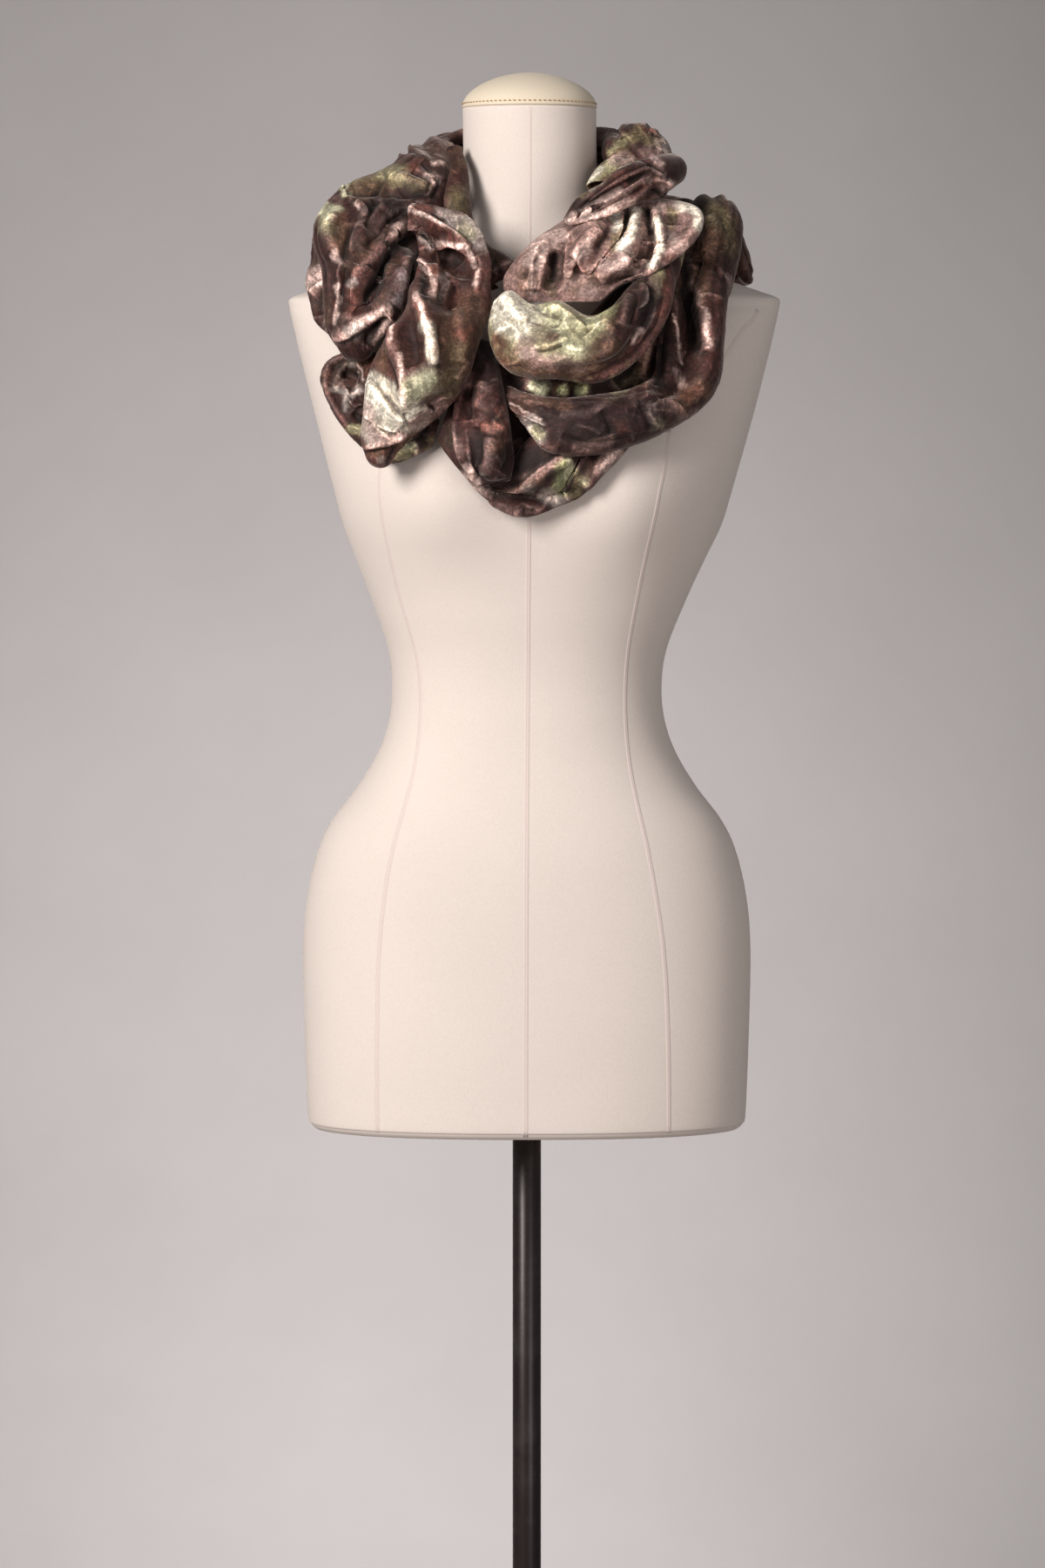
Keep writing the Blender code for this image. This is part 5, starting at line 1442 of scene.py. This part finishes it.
def mixed(tree, share, a, b, blend="MIX"):
    """Mixes two colours."""
    made = node(tree, "ShaderNodeMix", [(0, share), (6, a), (7, b)], data_type="RGBA",
                blend_type=blend)
    return made.outputs[2]


def noise(tree, place, scale, detail=2.0, rough=0.5, distortion=0.0):
    """A noise texture; scale counts waves in a metre."""
    return node(tree, "ShaderNodeTexNoise", [("Vector", place), ("Scale", scale), ("Detail", detail),
                ("Roughness", rough), ("Distortion", distortion)]).outputs["Fac"]


def crushed_pile_group():
    """Crushed velvet pile: mottled brightness, painted highlights on crests, painted shade in valleys,
    fine lie marks.
    """
    group, into, out = new_group(
        "crushed pile",
        [("Dye and painted light", "NodeSocketColor", (0.1, 0.05, 0.05, 1)), ("Crest", "NodeSocketFloat", 0.0),
         ("Highlight", "NodeSocketColor", (0.16, 0.12, 0.11, 1))],
        [("Colour", "NodeSocketColor"), ("Roughness", "NodeSocketFloat"),
         ("Height", "NodeSocketFloat")])
    place = node(group, "ShaderNodeTexCoord").outputs["Object"]
    lay = node(group, "ShaderNodeAttribute", attribute_name="lay").outputs["Vector"]
    drawn = node(group, "ShaderNodeMapping", [("Vector", lay), ("Scale", (0.85, 1.0, 1.0))],
                 vector_type="POINT").outputs["Vector"]
    broad = noise(group, drawn, 90.0, 5.0, 0.62, 0.9)
    fine = noise(group, place, 420.0, 3.0, 0.65, 0.4)
    pile = noise(group, place, 1500.0, 2.0, 0.6)
    lie = ramp(group, broad, [(0.30, 0.5), (0.5, 0.85), (0.70, 1.75)])
    speck = ramp(group, fine, [(0.34, 0.62), (0.52, 0.95), (0.68, 1.6)])
    grain = ramp(group, pile, [(0.25, 0.82), (0.75, 1.18)])
    colour = mixed(group, 1.0, mixed(group, 1.0, into.outputs["Dye and painted light"], lie, "MULTIPLY"),
                   mixed(group, 1.0, speck, grain, "MULTIPLY"), "MULTIPLY")
    # Painted highlight: on crests of the fine folds the colour is lifted, in patches, to about three
    # times its brightness plus a warm highlight colour.
    crest = math_node(group, "MULTIPLY", into.outputs["Crest"], CREST_HIGHLIGHT_GAIN, clamp=True)
    patchy_highlight = math_node(group, "MULTIPLY", crest, ramp(group, fine, [(0.35, 0.35), (0.6, 1.0)]))
    highlighted = mixed(group, 1.0, mixed(group, 1.0, colour, (3.0, 2.85, 2.75, 1), "MULTIPLY"),
                   into.outputs["Highlight"], "ADD")
    colour = mixed(group, math_node(group, "MULTIPLY", patchy_highlight, CREST_HIGHLIGHT_SHARE), colour, highlighted)
    # Painted shade: in valleys of the fine folds the colour is darkened towards a fifth of its
    # brightness.
    valley = math_node(group, "MULTIPLY", into.outputs["Crest"], -VALLEY_SHADE_GAIN, clamp=True)
    colour = mixed(group, math_node(group, "MULTIPLY", valley, VALLEY_SHADE_SHARE), colour,
                   mixed(group, 1.0, colour, (0.18, 0.15, 0.15, 1), "MULTIPLY"))
    rough = math_node(group, "SUBTRACT", 0.60, math_node(group, "MULTIPLY", patchy_highlight, 0.12))
    rough = math_node(group, "ADD", rough, math_node(group, "MULTIPLY", fine, 0.14))
    crush = noise(group, drawn, 210.0, 5.0, 0.62, 0.4)
    height = math_node(group, "ADD", crush, math_node(group, "MULTIPLY", fine, 0.3))
    height = math_node(group, "ADD", height, math_node(group, "MULTIPLY", pile, 0.10))
    for label, source in (("Colour", colour), ("Roughness", rough), ("Height", height)):
        group.links.new(source, out.inputs[label])
    return group


def fine_weave_group():
    """Fine jersey: faint columns of stitches, soft clouds in the colour and a little fluff."""
    group, into, out = new_group(
        "fine weave",
        [("Cloth", "NodeSocketColor", (0.8, 0.7, 0.6, 1)), ("Columns", "NodeSocketFloat", 1200.0)],
        [("Colour", "NodeSocketColor"), ("Height", "NodeSocketFloat")])
    place = node(group, "ShaderNodeTexCoord").outputs["Object"]
    stretched = node(group, "ShaderNodeMapping", [("Vector", place), ("Scale", (1.0, 1.0, 0.35))],
                     vector_type="POINT").outputs["Vector"]
    clouds = noise(group, place, 9.0, 3.0, 0.5)
    fluff = noise(group, place, 700.0, 2.0, 0.6)
    stitches = noise(group, stretched, into.outputs["Columns"], 2.0, 0.5)
    tone = ramp(group, clouds, [(0.3, 0.97), (0.7, 1.02)])
    knit = ramp(group, stitches, [(0.3, 0.955), (0.7, 1.03)])
    colour = mixed(group, 1.0, mixed(group, 1.0, into.outputs["Cloth"], tone, "MULTIPLY"), knit,
                   "MULTIPLY")
    height = math_node(group, "ADD", stitches, math_node(group, "MULTIPLY", fluff, 0.4))
    group.links.new(colour, out.inputs["Colour"])
    group.links.new(height, out.inputs["Height"])
    return group


def worn_paint_group():
    """Painted metal: slight orange peel, dust-like clouds and fine scratches in the gloss."""
    group, into, out = new_group(
        "worn paint",
        [("Paint", "NodeSocketColor", (0.03, 0.02, 0.02, 1)), ("Gloss", "NodeSocketFloat", 0.35)],
        [("Colour", "NodeSocketColor"), ("Roughness", "NodeSocketFloat"),
         ("Height", "NodeSocketFloat")])
    place = node(group, "ShaderNodeTexCoord").outputs["Object"]
    long = node(group, "ShaderNodeMapping", [("Vector", place), ("Scale", (1.0, 1.0, 0.06))],
                vector_type="POINT").outputs["Vector"]
    streak = noise(group, long, 260.0, 3.0, 0.6)
    peel = noise(group, place, 420.0, 2.0, 0.5)
    dust = noise(group, place, 30.0, 4.0, 0.6)
    colour = mixed(group, ramp(group, dust, [(0.45, 0.0), (0.8, 0.35)]), into.outputs["Paint"],
                   (0.10, 0.085, 0.08, 1))
    rough = math_node(group, "ADD", into.outputs["Gloss"],
                      math_node(group, "MULTIPLY", streak, 0.12))
    group.links.new(colour, out.inputs["Colour"])
    group.links.new(rough, out.inputs["Roughness"])
    group.links.new(peel, out.inputs["Height"])
    return group


def finish(name, group, values, bump, constants):
    """A material whose colour, height and any roughness come from a shared group.

    values are the group's inputs, and a text there names an attribute of the mesh.  bump is the
    (strength, distance) of the height, and constants are plain values of the shader's sockets.
    """
    made = bpy.data.materials.new(name)
    made.use_nodes = True
    tree = made.node_tree
    shader = tree.nodes["Principled BSDF"]
    source = node(tree, "ShaderNodeGroup", node_tree=group)
    for label, value in values.items():
        if isinstance(value, str):
            read = node(tree, "ShaderNodeAttribute", attribute_name=value)
            kind = "Color" if source.inputs[label].type == "RGBA" else "Fac"
            tree.links.new(read.outputs[kind], source.inputs[label])
        else:
            source.inputs[label].default_value = value
    relief = node(tree, "ShaderNodeBump", [("Height", source.outputs["Height"]),
                                           ("Strength", bump[0]), ("Distance", bump[1])])
    tree.links.new(source.outputs["Colour"], shader.inputs["Base Color"])
    tree.links.new(relief.outputs["Normal"], shader.inputs["Normal"])
    if "Roughness" in source.outputs:
        tree.links.new(source.outputs["Roughness"], shader.inputs["Roughness"])
    for label, value in constants.items():
        shader.inputs[label].default_value = value
    return made


def velvet(name, group):
    """The scarf's velvet: dye and crest come from the mesh, pile from the shared group, which paints
    highlights on crests and shade in valleys.
    """
    return finish(name, group, {"Dye and painted light": "dye", "Crest": "crest"}, (0.45, 0.0014), {
        "Specular IOR Level": 0.48, "Specular Tint": (1.0, 0.87, 0.81, 1), "Metallic": 0.08,
        "Sheen Weight": 0.55, "Sheen Roughness": 0.30, "Sheen Tint": (1.0, 0.84, 0.77, 1)})


def jersey(name, group, cloth, columns):
    """Stretch jersey in one colour."""
    return finish(name, group, {"Cloth": (*linear(cloth), 1), "Columns": columns}, (0.25, 0.0003),
                  {"Roughness": 0.82, "Specular IOR Level": 0.2, "Sheen Weight": 0.12,
                   "Sheen Roughness": 0.5})


def painted_metal(name, group, paint, gloss, metallic):
    """Dark painted or lacquered metal."""
    return finish(name, group, {"Paint": (*linear(paint), 1), "Gloss": gloss}, (0.15, 0.0003),
                  {"Metallic": metallic})


# ---- dress form --------------------------------------------------------------------------------
def form_points(places, angles):
    """Points of the form at fractional rows and angles: superellipse sections with a bust.

    The bust is a pair of bell-shaped swellings to the front.  Angle -90 degrees is the front.
    """
    rows = smooth_rows(FORM_ROWS, np.ravel(places))[:, None]
    z, half_width, front, back, square, shift = (rows[..., k] for k in range(6))
    c, s = np.cos(angles), np.sin(angles)
    power = 2.0 / square
    x = half_width * np.sign(c) * np.abs(c) ** power
    y = np.where(s < 0.0, front, back) * np.sign(s) * np.abs(s) ** power
    side = np.exp(-((np.abs(x) - BUST_X) / BUST_REACH) ** 2)
    height = np.exp(-((z - BUST_Z) / BUST_REACH) ** 2)
    y = y - BUST_OUT * side * height * np.clip(-s, 0.0, 1.0)
    return np.stack((x + shift, y, np.broadcast_to(z, x.shape)), -1)


def dress_form(material):
    """The jersey-covered form: a closed skin, hemmed at the bottom, flat under the cap."""
    angles = np.linspace(0.0, 2 * math.pi, FORM_SIDES, endpoint=False)
    last = len(FORM_ROWS) - 1
    places = np.concatenate((np.linspace(0, HEM_ROW, HEM_RINGS, endpoint=False),
                             np.linspace(HEM_ROW, last, FORM_RINGS)))
    skin = form_points(places, angles)
    inset = skin[0] * HEM_INSET - HEM_DROP
    rings = np.concatenate((inset[None], skin))
    points, faces = capped_tube(rings, inset.mean(0), skin[-1].mean(0))
    return mesh_piece("dress_form", points * MM, faces, material)


def form_angle(places, wanted_x, side):
    """Angle on the form, front or back, where a row reaches the wanted x."""
    rows = smooth_rows(FORM_ROWS, places)
    ratio = np.clip((wanted_x - rows[:, 5]) / rows[:, 1], -0.999, 0.999)
    c = np.sign(ratio) * np.abs(ratio) ** (rows[:, 4] / 2.0)
    return -np.arccos(c) if side == "front" else np.arccos(c)


def seam(name, knots, side, profile, material):
    """A seam carried down the form: knots are (height, x); profile is (sideways, outwards) pairs."""
    knots = np.array(sorted(knots), dtype=float)
    table = np.array(FORM_ROWS)
    count = int((knots[-1, 0] - knots[0, 0]) / 3.0)
    z = np.linspace(knots[0, 0], knots[-1, 0], count)
    share = np.interp(z, knots[:, 0], np.arange(len(knots)))
    x = smooth_rows(knots, share)[:, 1]
    places = np.interp(z, table[:, 0], np.arange(len(table)))
    angle = form_angle(places, x, side)
    centre = np.array([form_points(p, a)[0] for p, a in zip(places, angle[:, None])])[:, 0]
    aside = np.array([form_points(p, a)[0] for p, a in zip(places, angle[:, None] + 0.01)])[:, 0]
    run = unit(np.gradient(centre, axis=0))
    out = unit(np.cross(unit(aside - centre), run))
    across = unit(np.cross(run, out))
    ring = np.array(profile, dtype=float)
    points = centre[:, None] + ring[:, 0:1] * across[:, None] + ring[:, 1:2] * out[:, None]
    return mesh_piece(name, points.reshape(-1, 3) * MM, rope_triangles(count, len(ring)),
                      material)


def stitch_ring(name, radius, height, count, material, shift):
    """A row of short stitches round a turned edge: tapered threads lying along the circle."""
    levels, sides = 5, 6
    along = np.linspace(-0.5, 0.5, levels)[:, None]
    turn = 2 * math.pi * (np.arange(count)[:, None, None] + 0.62 * along) / count
    ring = np.linspace(0.0, 2 * math.pi, sides, endpoint=False)
    thick = 0.03 + 0.34 * (1.0 - (2.0 * along) ** 4)
    reach, rise, turn = np.broadcast_arrays(radius + thick * np.cos(ring),
                                            height + 1.4 * thick * np.sin(ring), turn)
    points = np.stack((reach * np.cos(turn) + shift, reach * np.sin(turn), rise), -1)
    one = rope_triangles(levels, sides)[:, ::-1]
    faces = (one[None] + levels * sides * np.arange(count)[:, None, None]).reshape(-1, 3)
    return mesh_piece(name, points.reshape(-1, 3) * MM, faces, material)


# ---- studio ------------------------------------------------------------------------------------
def backdrop():
    """A floor that sweeps up into a wall: flat, a quarter circle, then upright."""
    sweep = [(WALL_PLACE - SWEEP + SWEEP * math.sin(t), SWEEP - SWEEP * math.cos(t))
             for t in np.linspace(0.0, 0.5 * math.pi, 24)]
    profile = [(FLOOR_FRONT, 0.0)] + sweep + [(WALL_PLACE, WALL_TOP)]
    points = np.array([[(x, y, z - FLOOR_DROP) for x in (-WALL_HALF, WALL_HALF)]
                       for y, z in profile])
    index = np.arange(points.shape[0] * 2).reshape(points.shape[0], 2)
    faces = grid_triangles(index, flip=True)
    made = bpy.data.materials.new("backdrop paper")
    made.use_nodes = True
    tree = made.node_tree
    shader = tree.nodes["Principled BSDF"]
    place = node(tree, "ShaderNodeTexCoord").outputs["Object"]
    tone = ramp(tree, noise(tree, place, 3.0, 4.0, 0.6), [(0.3, 0.97), (0.7, 1.03)])
    across = math_node(tree, "ADD", node(tree, "ShaderNodeSeparateXYZ",
                                         [("Vector", place)]).outputs["X"], 0.7)
    # Painted shade: the paper is made darker towards the right, down to 0.80 of its colour at the right
    # edge, and a little lighter left of the middle, as the light falls from the left.
    shade = ramp(tree, math_node(tree, "DIVIDE", across, 1.4),
                 [(0.0, 0.98), (0.35, 1.04), (0.6, 0.98), (1.0, 0.80)])
    colour = mixed(tree, 1.0, mixed(tree, 1.0, (*linear(BACKDROP), 1), tone, "MULTIPLY"), shade,
                   "MULTIPLY")
    tree.links.new(colour, shader.inputs["Base Color"])
    shader.inputs["Roughness"].default_value = 0.95
    shader.inputs["Specular IOR Level"].default_value = 0.1
    clear = node(tree, "ShaderNodeBsdfTransparent")
    behind = node(tree, "ShaderNodeNewGeometry").outputs["Backfacing"]
    mix = node(tree, "ShaderNodeMixShader", [(0, behind), (1, shader.outputs[0]),
                                             (2, clear.outputs[0])])
    tree.links.new(mix.outputs[0], tree.nodes["Material Output"].inputs["Surface"])
    mesh = bpy.data.meshes.new("backdrop")
    mesh.from_pydata(points.reshape(-1, 3).tolist(), [], faces.tolist())
    mesh.materials.append(made)
    mesh.shade_smooth()
    wall = bpy.data.objects.new("backdrop", mesh)
    bpy.context.scene.collection.objects.link(wall)


def area_light(name, place, aim, size, power, colour):
    """A soft rectangular light at a place, turned to a point."""
    light = bpy.data.lights.new(name, "AREA")
    light.shape = "RECTANGLE"
    light.size, light.size_y = size
    light.energy = power
    light.color = colour
    made = bpy.data.objects.new(name, light)
    bpy.context.scene.collection.objects.link(made)
    heading = np.array(aim, dtype=float) - np.array(place, dtype=float)
    flat = math.hypot(heading[0], heading[1])
    made.location = place
    made.rotation_euler = (math.atan2(flat, -heading[2]), 0.0,
                           math.atan2(heading[1], heading[0]) - 0.5 * math.pi)


def camera():
    """The camera, a little above the middle of the cloth and tipped down."""
    lens = bpy.data.cameras.new("camera")
    lens.lens = LENS
    lens.sensor_width = SENSOR
    lens.clip_end = 60.0
    made = bpy.data.objects.new("camera", lens)
    made.location = CAMERA_PLACE
    made.rotation_euler = (math.radians(90.0 - CAMERA_DIP), 0.0, 0.0)
    bpy.context.scene.collection.objects.link(made)
    bpy.context.scene.camera = made


# ---- assembly ----------------------------------------------------------------------------------
def reversed_run(rows):
    """The same stretch walked from its other end: rows turned round and edges exchanged."""
    rows = np.array(rows, dtype=float)[::-1]
    return np.concatenate((rows[:, 3:6], rows[:, 0:3], rows[:, 6:]), axis=1)


def scarf_piece(name, rows, material):
    """One continuous length of the scarf that stands for the named stretches of the model."""
    cloth = PIECES[name]
    rows = np.array(rows, dtype=float)
    places = even_stations(rows, cloth.spacing, cloth.behind)
    outer = stretch_surface(rows, places, cloth.count)
    for part in cloth.stands_for:
        outer = press_folds(outer, DEEP_FOLDS.get(part, {}))
    if cloth.roll:
        outer = turn_under(outer, cloth.roll)
    plain = bend(outer)
    outer = press_pleats(outer, cloth.pleats, cloth.depth, cloth.seed)
    for part in cloth.stands_for:
        outer = press_folds(outer, FOLDS.get(part, {}))
    outer = crumple(outer, cloth.crumple, cloth.seed)
    base = DYE_AND_PAINTED_LIGHT_PATCHES[cloth.stands_for[-1]][0]
    patches = [patch for part in cloth.stands_for for patch in DYE_AND_PAINTED_LIGHT_PATCHES[part][1]]
    colour = dye_and_painted_light(outer, base, patches, cloth.loose, cloth.seed)
    piece = cloth_wall(name, outer, colour, bend(outer) - plain, material)
    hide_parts(*cloth.stands_for)
    width = np.linalg.norm(np.diff(outer, axis=1), axis=-1).sum(1).mean() * MM
    length = np.linalg.norm(np.diff(outer, axis=0), axis=-1).sum(0).mean() * MM
    print(name, "cut", round(width, 3), round(length, 3), "tris", len(piece.data.polygons))


def stands_for(piece, part):
    """Hides one node of the model, whose look a piece gives."""
    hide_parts(part)


def box_of(part):
    """Lowest and highest corner of a node of the model, in millimetres."""
    return (np.array(corner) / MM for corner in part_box(part))


def neck_cap(material, thread):
    """The domed cap on the neck, with a row of stitches above its rim."""
    (low_x, _, foot), (high_x, _, top) = box_of("neck_cap")
    middle, radius = 0.5 * (low_x + high_x), 0.5 * (high_x - low_x)
    profile = [(0.0, foot)] + [(radius + out, foot + up) for out, up in CAP_RIM]
    for t in np.linspace(0.08, 0.5 * math.pi, DOME_STEPS, endpoint=False):
        profile.append(((radius - DOME_IN) * math.cos(t) ** (2 / DOME_POWER),
                        foot + DOME_FOOT
                        + (top - foot - DOME_FOOT) * math.sin(t) ** (2 / DOME_POWER)))
    cap = turned("cap", profile + [(0.0, top)], CAP_SIDES, material, middle)
    stands_for(cap, "neck_cap")
    stitches = stitch_ring("cap_stitches", radius - 0.1, foot + STITCH_HEIGHT, STITCHES, thread,
                           middle)


def pole(material):
    """The pole, a rod with bevelled ends."""
    (low_x, _, foot), (high_x, _, top) = box_of("stand_pole")
    radius = 0.5 * (high_x - low_x)
    inside = radius - POLE_BEVEL
    profile = ((0, foot), (inside, foot), (radius, foot + POLE_BEVEL), (radius, top - POLE_BEVEL),
               (inside, top), (0, top))
    stands_for(turned("pole", profile, POLE_SIDES, material), "stand_pole")


def studio():
    """Camera, backdrop, lights and the even light of the room."""
    camera()
    backdrop()
    for light in LIGHTS:
        area_light(*light)
    world = bpy.data.worlds.new("studio")
    world.use_nodes = True
    world.node_tree.nodes["Background"].inputs["Color"].default_value = AMBIENT_COLOUR
    world.node_tree.nodes["Background"].inputs["Strength"].default_value = AMBIENT
    bpy.context.scene.world = world
    bpy.context.scene.view_settings.view_transform = "Standard"


def support():
    """The dress form with its seams, the cap and the stand."""
    weave = fine_weave_group()
    paint = worn_paint_group()
    stands_for(dress_form(jersey("form jersey", weave, JERSEY, 1300.0)), "form_body")
    seam_cloth = jersey("seam jersey", weave, SEAM, 1500.0)
    for label, knots, side, profile in SEAMS:
        seam(label, knots, side, SEAM_PROFILES[profile], seam_cloth)
    neck_cap(jersey("cap cloth", weave, CAP, 1500.0), jersey("stitching", weave, STITCH, 2500.0))
    pole(painted_metal("pole lacquer", paint, POLE, 0.30, 0.35))
    plate_paint = painted_metal("plate paint", paint, PLATE, 0.42, 0.3)
    stands_for(turned("plate", PLATE_PROFILE, PLATE_SIDES, plate_paint), "base_plate")


def scarf():
    """The two long runs of the scarf, then the ten shorter pieces."""
    cloth = velvet("crushed velvet", crushed_pile_group())
    neck = np.concatenate((TUCK, reversed_run(STRETCHES["neck_back_band"]),
                           STRETCHES["left_swirl"][1:]))
    shoulder = np.concatenate((reversed_run(STRETCHES["left_shoulder_layer"]),
                               STRETCHES["shoulder_back_band"][1:],
                               STRETCHES["outer_right_band"][1:]))
    runs = {"neck_run": neck, "shoulder_run": shoulder}
    for name, piece in PIECES.items():
        rows = runs[name] if name in runs else STRETCHES[piece.stands_for[0]]
        scarf_piece(name, rows, cloth)


support()
scarf()
studio()
